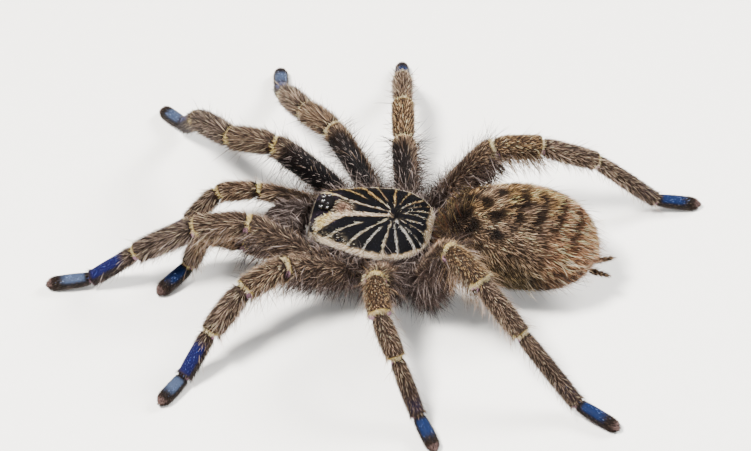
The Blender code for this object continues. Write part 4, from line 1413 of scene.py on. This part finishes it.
class Abdomen:
    """The soft egg of the abdomen, with its marks and coat."""

    ROWS, COLUMNS = 90, 120
    COAT = 0.85
    LUMP = 0.22
    BARS = (0.49, 0.61, 0.73, 0.85)  # shares of its length
    BAR_HALF = 0.024
    BAR_REACH = 0.45  # share of the half width
    # Share of the length, share of the half width to either side, and half size.
    SPOTS = (
        (0.13, 0.18, 0.085),
        (0.20, 0.45, 0.070),
        (0.25, 0.05, 0.055),
        (0.33, 0.27, 0.075),
        (0.36, 0.60, 0.055),
        (0.42, 0.08, 0.045),
    )
    UNDER = Seta(0.95, 0.085, 27.0, wander=14.0, lift_spread=10.0)
    OVER = Seta(1.15, 0.085, 34.0, spread=0.35, wander=9.0, lift_spread=9.0, bend=0.10, sway=3.0)
    LONG = Seta(3.0, 0.080, 44.0, bend=0.20, curl=0.12, wander=22.0, steps=3)
    SCRUFF = Seta(2.3, 0.070, 50.0, bend=0.20, wander=25.0, steps=3)

    def __init__(self, node: bpy.types.Object) -> None:
        """Measures the solid and makes the skin."""
        middles, widths, heights, aim = sections_along(node, -np.array([0.0, -1.0, 0.0]), eased(self.ROWS))
        skin = ringed(middles, widths, heights, aim, self.COLUMNS).inset(self.COAT)
        lumps = self.LUMP * (MOTTLE.at(skin.points, 4.5) - 0.5)
        self.skin = Surface(skin.points + skin.normal * lumps[..., None])
        self.middle = middles.mean(axis=0)
        self.width = widths.max()

    def place(self, row: np.ndarray, column: np.ndarray) -> tuple[np.ndarray, np.ndarray, np.ndarray]:
        """Share of the length, share of the width to the left, and 1 on the back to -1 below."""
        share = eased(self.ROWS)[np.clip(row.astype(int), 0, self.ROWS - 1)]
        turn = 2 * np.pi * column / self.COLUMNS
        swell = np.sin(np.pi * share) ** 0.5
        return share, -np.cos(turn) * swell, np.sin(turn)

    def dark(self, row: np.ndarray, column: np.ndarray, points: np.ndarray) -> np.ndarray:
        """1 on the dark bars and spots of the back."""
        share, left, up = self.place(row, column)
        ragged = 0.045 * (MOTTLE.at(points, 0.9) - 0.5)
        top = ramp(0.25, 0.6, up)
        marks = np.zeros_like(share)
        for bar in self.BARS:
            off = np.abs(share + ragged + 0.10 * np.abs(left) ** 1.5 - bar)
            line = (1 - ramp(self.BAR_HALF * 0.7, self.BAR_HALF * 1.4, off)) * (
                1 - ramp(self.BAR_REACH * 0.8, self.BAR_REACH * 1.2, np.abs(left))
            )
            marks = np.maximum(marks, line)
        for spot_share, out, half in self.SPOTS:
            off = np.hypot((share - spot_share) * 1.1, (np.abs(left) - out) * 0.6) + 1.2 * ragged
            marks = np.maximum(marks, 1 - ramp(half * 0.7, half * 1.3, off))
        mottle = ramp(0.58, 0.74, MOTTLE.at(points, 1.4))
        return np.maximum(marks * top, 0.65 * mottle)

    def tint(self, row: np.ndarray, column: np.ndarray, points: np.ndarray) -> np.ndarray:
        """Colour of the coat, with painted shade low on its sides and underneath."""
        share, left, up = self.place(row, column)
        patch = MOTTLE.at(points, 1.1)
        tint = blend(Tone.DUSK.rgb * 1.3, Tone.TAN.rgb * 0.9, 0.15 + 0.65 * patch)
        gold = ramp(0.1, 0.7, up) * ramp(0.30, 0.60, MOTTLE.at(points, 1.9)) * ramp(0.5, -0.2, left)
        tint = blend(tint, Tone.GOLD.rgb * 0.85, 0.6 * gold)
        olive = blend(Tone.DUSK.rgb * 1.6, Tone.OLIVE.rgb * 0.6, 0.35)
        tint = blend(tint, olive, 0.6 * ramp(0.7, -0.2, up) * (1 - ramp(0.55, 0.8, share)))
        tint = blend(tint, blend(Tone.RUST.rgb, Tone.TAN.rgb, 0.50) * 1.6, 0.8 * ramp(0.60, 0.85, share))
        # Painted shade: the coat is drawn darker low on the sides and underneath, where shade falls.
        tint = tint * (0.25 + 0.75 * ramp(-0.3, 0.55, up))[..., None]
        tint = blend(tint, Tone.DUSK.rgb * 0.7, 0.85 * (1 - ramp(0.08, 0.24, share)))
        return blend(tint, Tone.UMBER.rgb * 0.25, 0.95 * self.dark(row, column, points))

    def grow(self, rng: np.random.Generator) -> list[Coat]:
        """Grows the coat in two pieces, the back and the belly."""
        row, column = self.skin.grid()
        share, _, up = self.place(row, column)
        made = []
        for name, part in (("back", (up >= 0).astype(float)), ("belly", (up < 0).astype(float))):
            coat = Coat(f"coat_abdomen_{name}", rng)
            # The undercoat is drawn dark and the outer hairs light with bright tips: partly their own
            # colours, partly painted shade among the hairs and painted glints.
            for seta, density, shade, tip in ((self.UNDER, 26.0, 0.36, 1.3), (self.OVER, 13.0, 1.55, 2.4)):
                roots = self.skin.scatter(rng, density * part)
                tint = self.tint(roots.row, roots.column, roots.at)
                chance = rng.random(len(roots))
                strand_light = shade * (0.5 + 0.9 * roots.streak) * rng.uniform(0.5, 1.4, len(roots))
                tint = tint * strand_light[:, None]
                tint = blend(tint, Tone.CREAM.rgb, 0.4 * (chance > 0.97) * (tint.sum(axis=1) > 0.1))
                tint = blend(tint, Tone.UMBER.rgb * 0.4, 0.9 * (chance < 0.15))
                to_belly = ramp(0.9, 0.3, np.sin(2 * np.pi * roots.column / self.COLUMNS))
                lie = roots.down - UP * (0.10 + 0.5 * to_belly)[:, None]
                coat.grow(roots, seta, lie, tint, 0.85 + 0.3 * roots.row / self.ROWS, tip=tip, base=0.05)
            sides = ramp(0.75, 0.1, up) * ramp(0.40, 0.6, share) + ramp(0.70, 0.9, share)
            roots = self.skin.scatter(rng, 0.7 * part * sides)
            pale = blend(Tone.DUSK.rgb, Tone.CREAM.rgb, 0.8 * rng.random(len(roots)) ** 2)
            pale = blend(pale, Tone.RUST.rgb, 0.5 * ramp(0.8, 0.95, roots.row / self.ROWS))
            coat.grow(roots, self.LONG, roots.down - UP * 0.25, pale, 1.0, tip=1.4)
            front = 1 - ramp(0.05, 0.20, share)
            roots = self.skin.scatter(rng, 14.0 * part * front)
            earthy = blend(Tone.TAN.rgb, Tone.OLIVE.rgb, 0.3) * 0.8
            dark = blend(Tone.DUSK.rgb * 0.3, earthy, rng.random(len(roots)) ** 9)
            dark = blend(dark, Tone.RUST.rgb * 0.7, 0.6 * (rng.random(len(roots)) > 0.95))
            coat.grow(roots, self.SCRUFF, UP - roots.down * 0.4, dark, 1.0, tip=1.6, base=0.15)
            made.append(coat)
        return made


class Underside:
    """The core below the shield, its breastplate and the waist."""

    # Share of the shield's length, half width, bottom and top, in millimetres.
    OUTLINE = (
        (0.02, 2.3, 4.2, 6.9),
        (0.18, 3.8, 3.0, 7.1),
        (0.45, 5.3, 2.5, 7.1),
        (0.72, 5.4, 2.5, 7.1),
        (0.92, 3.9, 3.0, 7.1),
        (1.02, 1.9, 4.2, 6.7),
    )
    ROWS, COLUMNS = 40, 48
    COAT = 0.35
    WAIST_RADIUS, WAIST_HEIGHT = 0.85, 5.6
    HAIR = Seta(2.2, 0.085, 36.0, bend=0.2, curl=0.2, wander=30.0, steps=2)

    def __init__(self, shield: Shield, abdomen: Abdomen) -> None:
        """Makes the core and the waist."""
        share, half, low, high = (np.array(column) for column in zip(*self.OUTLINE))
        at = np.linspace(share[0], share[-1], self.ROWS)
        front = shield.stations[0]
        ends = np.sqrt(np.clip(1 - (2 * (at - at[0]) / np.ptp(at) - 1) ** 8, 0.02, 1))
        middles = np.stack(
            [
                np.full_like(at, shield.fovea[0]),
                front + at * shield.length,
                (through(at, share, low) + through(at, share, high)) / 2,
            ],
            axis=1,
        )
        heights = (through(at, share, high) - through(at, share, low)) / 2 * ends
        widths = through(at, share, half) * ends
        back_aim = np.array([0.0, 1.0, 0.0])
        self.skin = ringed(middles, widths, heights, back_aim, self.COLUMNS).inset(self.COAT)
        start = np.array([shield.fovea[0], front + 0.9 * shield.length, self.WAIST_HEIGHT])
        end = abdomen.middle * [1, 0, 0] + [0, abdomen.skin.points[6, :, 1].mean(), self.WAIST_HEIGHT]
        path = start + (end - start) * np.linspace(0, 1, 10)[:, None]
        self.waist = swept(path, np.full(10, self.WAIST_RADIUS), 20)

    def grow(self, rng: np.random.Generator) -> Coat:
        """Grows the dark hairs of the breastplate."""
        coat = Coat("coat_underside", rng)
        row, column = self.skin.grid()
        below = np.sin(2 * np.pi * column / self.COLUMNS) < 0.9
        roots = self.skin.scatter(rng, 22.0 * below)
        tint = blend(Tone.DUSK.rgb * 0.4, Tone.GREY.rgb, rng.random(len(roots)) ** 4)
        coat.grow(roots, self.HAIR, roots.normal * 0.2 - UP * 0.6 + roots.down, tint, base=0.2, tip=1.4)
        roots = self.waist.scatter(rng, np.full(self.waist.points.shape[:2], 16.0))
        tint = blend(Tone.DUSK.rgb * 0.5, Tone.RUST.rgb * 0.5, rng.random(len(roots)) ** 4)
        coat.grow(roots, self.HAIR, roots.down, tint)
        return coat


class Jaw:
    """One chelicera with its fang."""

    ROWS, COLUMNS = 40, 40
    COAT = 0.34
    # Back from the fang's front, up from its lowest point, and radius, in millimetres.
    FANG = (
        (0.46, 1.86, 0.44),
        (0.71, 0.81, 0.43),
        (1.51, 0.41, 0.38),
        (2.61, 0.31, 0.30),
        (3.71, 0.46, 0.19),
        (4.61, 0.86, 0.07),
    )
    SHORT = Seta(1.0, 0.085, 22.0, wander=16.0)
    LONG = Seta(1.9, 0.075, 42.0, bend=0.22, curl=0.10, wander=22.0, steps=3)
    BRUSH = Seta(1.1, 0.080, 60.0, wander=25.0, bend=0.2)

    def __init__(self, side: Side, nodes: dict[str, bpy.types.Object]) -> None:
        """Measures the jaw and its fang."""
        self.side = side
        ahead = np.array([0.0, -1.0, 0.0])
        middles, widths, heights, aim = sections_along(
            nodes[f"chelicera_{side.value}"], ahead, eased(self.ROWS, 0.08)
        )
        self.skin = ringed(middles, widths, heights, aim, self.COLUMNS).inset(self.COAT)
        low, high = (np.array(corner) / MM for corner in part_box(f"fang_{side.value}"))
        back, up, radius = (np.array(column) for column in zip(*self.FANG))
        at = np.linspace(0, 1, 26)
        marks = np.linspace(0, 1, len(back))
        path = np.stack(
            [
                np.full_like(at, (low[0] + high[0]) / 2),
                low[1] + through(at, marks, back),
                low[2] + through(at, marks, up),
            ],
            axis=1,
        )
        self.fang = swept(path, through(at, marks, radius), 20)

    def grow(self, coat: Coat) -> None:
        """Grows the grey fuzz of the jaw."""
        rng, skin = coat.rng, self.skin
        row, column = skin.grid()
        up = np.sin(2 * np.pi * column / self.COLUMNS)
        share = row / self.ROWS
        roots = skin.scatter(rng, np.full(skin.points.shape[:2], 34.0))
        chance = rng.random(len(roots))
        grey = blend(Tone.DUSK.rgb * 0.4, Tone.GREY.rgb * 0.4, ramp(0.5, 1.0, chance))
        coat.grow(roots, self.SHORT, roots.down, grey, 1.0, tip=1.4, base=0.1)
        roots = skin.scatter(rng, 2.5 + 0 * up)
        grey = blend(Tone.DUSK.rgb, Tone.GREY.rgb * 1.3, rng.random(len(roots)))
        coat.grow(roots, self.LONG, roots.down - 0.2 * UP, grey, 1.0, tip=1.4, base=0.2)
        roots = skin.scatter(rng, 22.0 * ramp(-0.2, -0.7, up) * ramp(0.45, 0.7, share) + 1e-6)
        rust = blend(Tone.RUST.rgb * 0.6, Tone.RUST.rgb, rng.random(len(roots)))
        coat.grow(roots, self.BRUSH, roots.down, rust)


class Spinneret:
    """One long spinneret of three joints."""

    AT = (0.0, 0.25, 0.38, 0.42, 0.52, 0.66, 0.70, 0.75, 0.90, 1.0)
    RADIUS = (0.46, 0.52, 0.50, 0.40, 0.47, 0.44, 0.35, 0.39, 0.36, 0.20)
    HAIR = Seta(0.75, 0.070, 26.0, wander=16.0)

    def __init__(self, node: bpy.types.Object) -> None:
        """Measures the solid."""
        whole = Segment.measure(node, np.array([0.0, 1.0, 0.0]))
        along = (whole.corners.reshape(-1, 3) - whole.point) @ whole.aim
        at = np.linspace(0, 1, 30)
        path = whole.point + whole.aim * (along.min() + at * np.ptp(along))[:, None]
        self.skin = swept(path, through(at, self.AT, self.RADIUS) - 0.14, 16)

    def grow(self, coat: Coat) -> None:
        """Grows its short brown hairs."""
        roots = self.skin.scatter(coat.rng, np.full(self.skin.points.shape[:2], 40.0))
        tint = blend(Tone.UMBER.rgb, Tone.TAN.rgb, coat.rng.random(len(roots)) ** 2)
        coat.grow(roots, self.HAIR, roots.down, tint, tip=1.6, base=0.1)


# Eyes, fangs and claws.


class Eyes:
    """The mound with its eight eyes."""

    BEHIND_FOVEA = -9.265  # mm along Y
    BELOW_TOP = 0.99
    MOUND_HALF = (1.36, 1.03, 0.83)
    # Out, back and up from the mound's middle, and radius, in millimetres.
    PLACES = (
        (0.42, -0.36, 0.66, 0.33),
        (1.06, -0.58, 0.24, 0.31),
        (0.74, 0.26, 0.60, 0.22),
        (1.18, 0.30, 0.32, 0.27),
    )

    def __init__(self, shield: Shield) -> None:
        """Finds the mound's middle."""
        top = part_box("eye_tubercle")[1].z / MM
        self.centre = np.array([shield.fovea[0], shield.fovea[1] + self.BEHIND_FOVEA, top - self.BELOW_TOP])
        self.mound = ball(self.centre, np.array(self.MOUND_HALF), 24, 36)
        self.lenses = [
            ball(self.centre + [side.sign * out, back, up], np.full(3, radius), 20, 28)
            for out, back, up, radius in self.PLACES
            for side in Side
        ]

    def build(self, shield_material: bpy.types.Material, lens_material: bpy.types.Material) -> None:
        """Makes the mound and the lenses."""
        mound = Shell("eye_mound")
        mound.add(self.mound, Tone.CUTICLE_BLACK.rgb)
        dress(mound.build(), shield_material, Slot.SHIELD, ("eye_tubercle",))
        lenses = Shell("eyes")
        for lens in self.lenses:
            lenses.add(lens, Tone.BLACK.rgb)
        dress(lenses.build(), lens_material, Slot.EYE)


class Claws:
    """Two small claws at the tip of each foot."""

    APART = 0.13
    PATH = ((0.0, 0.10), (0.25, 0.22), (0.48, 0.20), (0.62, 0.02))  # ahead and up
    RADIUS = (0.060, 0.050, 0.035, 0.010)

    def build(self, limbs: list[Limb], material: bpy.types.Material) -> None:
        """Makes every claw as one piece."""
        shell = Shell("claws")
        at = np.linspace(0, 1, 12)
        marks = np.linspace(0, 1, len(self.PATH))
        ahead, up = (through(at, marks, np.array(column)) for column in zip(*self.PATH))
        radius = through(at, marks, self.RADIUS)
        for limb in limbs:
            aim = unit(limb.rows["aim"][-1] * [1, 1, 0])
            across = np.cross(UP, aim)
            for sign in (-1, 1):
                start = limb.joints[-1] - aim * 0.30 + across * self.APART * sign
                start[2] = max(limb.joints[-1][2] - 0.15, 0.12)
                path = start + aim * ahead[:, None] + UP * up[:, None]
                shell.add(swept(path, radius, 8), Tone.CUTICLE_BLACK.rgb)
        dress(shell.build(), material, Slot.FANG)


# Finishes.


def add_node(tree: bpy.types.NodeTree, kind: str, settings: dict, links: dict) -> bpy.types.Node:
    """Adds a node with its settings and links.

    Args:
        tree: The material's nodes.
        kind: The node's type.
        settings: Values by the name of a property or an input.
        links: Output sockets by the name of the input that each feeds.

    Returns:
        The node.
    """
    node = tree.nodes.new(kind)
    for name, value in settings.items():
        if name in node.inputs:
            node.inputs[name].default_value = value
        else:
            setattr(node, name, value)
    for name, socket in links.items():
        tree.links.new(socket, node.inputs[name])
    return node


@dataclass(frozen=True)
class Finish:
    """A surface of the animal."""

    name: str
    roughness: float
    metallic: float = 0.0
    specular: float = 0.5
    sheen: float = 0.0
    coat: float = 0.0
    grain_mm: float = 0.3  # size of its grain
    bump_mm: float = 0.0
    variation: float = 0.25  # how far the grain darkens the colour
    colour: Tone | None = None  # where it takes no colour from its points

    def material(self) -> bpy.types.Material:
        """Builds the node material."""
        made = bpy.data.materials.new(self.name)
        made.use_nodes = True
        tree = made.node_tree
        tree.nodes.clear()
        where = add_node(tree, "ShaderNodeTexCoord", {}, {})
        scale = 1.0 / (self.grain_mm * MM)
        noise = add_node(
            tree, "ShaderNodeTexNoise", {"Scale": scale, "Detail": 3.0}, {"Vector": where.outputs["Object"]}
        )
        if self.colour is None:
            base = add_node(tree, "ShaderNodeAttribute", {"attribute_name": "tint"}, {}).outputs["Color"]
        else:
            rgba = (*self.colour.rgb, 1.0)
            base = add_node(tree, "ShaderNodeMix", {"data_type": "RGBA", "A": rgba, "B": rgba}, {}).outputs[2]
        level = add_node(
            tree,
            "ShaderNodeMapRange",
            {"To Min": 1.0 - self.variation, "To Max": 1.0 + self.variation},
            {"Value": noise.outputs["Fac"]},
        )
        colour = add_node(
            tree,
            "ShaderNodeVectorMath",
            {"operation": "SCALE"},
            {"Vector": base, "Scale": level.outputs["Result"]},
        )
        settings = {
            "Roughness": self.roughness,
            "Metallic": self.metallic,
            "Specular IOR Level": self.specular,
            "Sheen Weight": self.sheen,
            "Sheen Roughness": 0.4,
            "Coat Weight": self.coat,
            "Coat Roughness": 0.05,
        }
        links = {"Base Color": colour.outputs["Vector"]}
        if self.bump_mm:
            bump = add_node(
                tree,
                "ShaderNodeBump",
                {"Strength": 0.7, "Distance": self.bump_mm * MM},
                {"Height": noise.outputs["Fac"]},
            )
            links["Normal"] = bump.outputs["Normal"]
        shader = add_node(tree, "ShaderNodeBsdfPrincipled", settings, links)
        add_node(tree, "ShaderNodeOutputMaterial", {}, {"Surface": shader.outputs["BSDF"]})
        return made


# Spider setae: thin chitin bristles grown and air-dried, so each gives a soft, broken gleam.
SETA = Finish("spider_setae", roughness=0.5, specular=0.05, grain_mm=0.5, variation=0.18)
# Blue setae: chitin with layers that scatter blue, so they glitter with a coloured, metallic gleam.
BLUE_SETA = Finish(
    "blue_spider_setae", roughness=0.36, metallic=0.4, specular=0.3, grain_mm=0.2, variation=0.3
)
# Soft spider cuticle: finely wrinkled, hardened a little, so it is dark and dull satin.
SKIN = Finish("spider_cuticle", roughness=0.6, specular=0.05, grain_mm=0.16, bump_mm=0.03)
# Hard shield cuticle under a velvet of minute hairs, which swallows light.
PLATE = Finish("carapace_cuticle", roughness=0.75, specular=0.05, grain_mm=0.2, bump_mm=0.03)
# Simple eyes: smooth clear corneas over black, as bright as wet glass.
LENS = Finish(
    "spider_eye_cornea",
    roughness=0.06,
    specular=0.8,
    coat=1.0,
    grain_mm=1.0,
    variation=0.05,
    colour=Tone.BLACK,
)
# Fang chitin: tanned very hard and worn smooth, so it is a glossy black-brown.
FANG = Finish(
    "fang_chitin",
    roughness=0.16,
    specular=0.6,
    coat=0.6,
    grain_mm=0.6,
    variation=0.2,
    colour=Tone.CUTICLE_BLACK,
)
# Matt painted board: an even pale floor with no gloss.
BOARD = Finish("painted_board", roughness=0.85, specular=0.2, grain_mm=2.0, variation=0.02, colour=Tone.BOARD)


# Stage.


def set_stage(shield: Shield) -> None:
    """Lays the floor, lights it and sets the camera.

    Args:
        shield: The shield, which the camera is set from.
    """
    size = 0.6
    corners = np.array([(-size, -size, 0), (size, -size, 0), (size, size, 0), (-size, size, 0)]) / MM
    floor = make_mesh("floor", corners, np.array([[0, 1, 2, 3]]))
    floor.data.materials.append(BOARD.material())
    floor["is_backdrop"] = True
    scene = bpy.context.scene
    world = scene.world or bpy.data.worlds.new("soft_room")
    scene.world = world
    world.use_nodes = True
    sky = world.node_tree.nodes["Background"]
    sky.inputs["Color"].default_value = (0.92, 0.95, 1.0, 1.0)
    sky.inputs["Strength"].default_value = 0.30
    middle = Vector((shield.fovea[0] * MM, 0.0, 0.005))
    lights = (
        ("key", Vector((0.12, -0.16, 0.44)), 0.10, 10.5, (1.0, 0.98, 0.95)),
        ("fill", Vector((0.38, 0.22, 0.30)), 0.26, 2.0, (0.93, 0.96, 1.0)),
        ("rim", Vector((-0.24, 0.32, 0.30)), 0.18, 7.0, (1.0, 1.0, 1.0)),
    )
    for name, place, width, power, colour in lights:
        lamp = bpy.data.lights.new(name, "AREA")
        lamp.size, lamp.energy, lamp.color = width, power, colour
        holder = bpy.data.objects.new(name, lamp)
        holder.location = middle + place
        holder.rotation_euler = (-place).to_track_quat("-Z", "Y").to_euler()
        scene.collection.objects.link(holder)
    aim_camera(shield)


# The view. Its values come from a least-squares fit.
CAMERA_ELEVATION, CAMERA_TURN, CAMERA_ROLL = 45.97, -10.9, -1.9  # degrees
CAMERA_DISTANCE = 0.418  # metres
CAMERA_LENS = 146.69  # millimetres, as SENSOR_WIDTH is
SENSOR_WIDTH = 36.0
CLIP_RANGE = (0.01, 5.0)  # metres
CAMERA_TARGET = Vector((0.0, -0.00259, 0.00704))  # metres, from the floor below the fovea


def aim_camera(shield: Shield) -> None:
    """Sets the camera above the animal's left side."""
    elevation, turn, roll = (math.radians(v) for v in (CAMERA_ELEVATION, CAMERA_TURN, CAMERA_ROLL))
    level = math.cos(elevation)
    back = Vector((level * math.cos(turn), -level * math.sin(turn), math.sin(elevation)))
    right = Vector((math.sin(turn), math.cos(turn), 0.0))
    up = back.cross(right)
    right = right * math.cos(roll) + up * math.sin(roll)
    up = back.cross(right)
    lens = bpy.data.cameras.new("camera")
    lens.lens, lens.sensor_width = CAMERA_LENS, SENSOR_WIDTH
    lens.clip_start, lens.clip_end = CLIP_RANGE
    camera = bpy.data.objects.new("camera", lens)
    datum = Vector((shield.fovea[0], shield.fovea[1], 0.0)) * MM
    camera.matrix_world = Matrix.Translation(datum + CAMERA_TARGET + back * CAMERA_DISTANCE) @ Matrix(
        (right, up, back)
    ).transposed().to_4x4()
    bpy.context.scene.collection.objects.link(camera)
    bpy.context.scene.camera = camera


# The whole animal.


def build_animal(nodes: dict[str, bpy.types.Object]) -> Shield:
    """Builds every piece.

    Args:
        nodes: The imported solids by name.

    Returns:
        The shield.
    """
    rng = np.random.default_rng(SEED)
    hair, blue, skin = SETA.material(), BLUE_SETA.material(), SKIN.material()
    plate, lens, chitin = PLATE.material(), LENS.material(), FANG.material()
    shield = Shield(nodes["carapace"])
    abdomen = Abdomen(nodes["abdomen"])
    underside = Underside(shield, abdomen)
    jaws = [Jaw(side, nodes) for side in Side]
    spinnerets = [Spinneret(nodes[f"spinneret_{side.value}"]) for side in Side]
    limbs = [Limb(name, side, nodes) for name in LOOKS for side in Side]
    coats = [LimbCoat(limb, rng) for limb in limbs]

    flesh = Shell("tarantula_skin")
    replaced = ["sternum_and_coxae", "abdomen"]
    for limb, coat in zip(limbs, coats):
        flesh.add(limb.skin, coat.skin_tint())
        replaced += limb.node_names
    flesh.add(underside.skin, Tone.CUTICLE.rgb)
    flesh.add(underside.waist, Tone.CUTICLE_RED.rgb)
    row, column = abdomen.skin.grid()
    # The abdomen's skin is a dark copy of its coat's colour, with the painted shade underneath included.
    flesh.add(abdomen.skin, abdomen.tint(row, column, abdomen.skin.points) * 0.08)
    for jaw in jaws:
        flesh.add(jaw.skin, Tone.CUTICLE.rgb)
        replaced.append(f"chelicera_{jaw.side.value}")
    for spinneret in spinnerets:
        flesh.add(spinneret.skin, Tone.CUTICLE.rgb)
    replaced += [f"spinneret_{side.value}" for side in Side]
    dress(flesh.build(), skin, Slot.LEG, tuple(replaced))

    shield.build(plate)
    Eyes(shield).build(plate, lens)
    for jaw in jaws:
        fang = Shell(f"fang_gloss_{jaw.side.value}")
        fang.add(jaw.fang, Tone.CUTICLE_BLACK.rgb)
        dress(fang.build(), chitin, Slot.FANG, (f"fang_{jaw.side.value}",))
    Claws().build(limbs, chitin)

    shield.grow(rng).build(hair, Slot.SHIELD)
    back_coat, belly_coat = abdomen.grow(rng)
    for spinneret in spinnerets:
        spinneret.grow(belly_coat)
    for coat in (back_coat, belly_coat):
        coat.build(hair, Slot.ABDOMEN)
    underside.grow(rng).build(hair, Slot.UNDERSIDE)
    jaw_coat = Coat("coat_chelicerae", rng)
    for jaw in jaws:
        jaw.grow(jaw_coat)
    jaw_coat.build(hair, Slot.JAW)
    feet, shanks = Coat("coat_blue_feet", rng), Coat("coat_violet_shanks", rng)
    for i, coat in enumerate(coats):
        coat.grow().build(hair, Slot.LEG)
        strip = (i / len(coats), 0.9 / len(coats))
        coat.grow_blue(feet, TARSUS, strip)
        coat.grow_blue(shanks, METATARSUS, strip)
    feet.build(blue, Slot.FOOT)
    shanks.build(blue, Slot.METATARSUS)
    return shield


def main() -> None:
    """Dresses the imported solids."""
    logging.basicConfig(level=logging.INFO, format="%(message)s")
    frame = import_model()
    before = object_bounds()
    shield = build_animal(frame["nodes"])
    set_stage(shield)
    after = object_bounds()
    sizes = [[list(corner) for corner in pair] for pair in (before, after)]


if __name__ == "__main__":
    main()
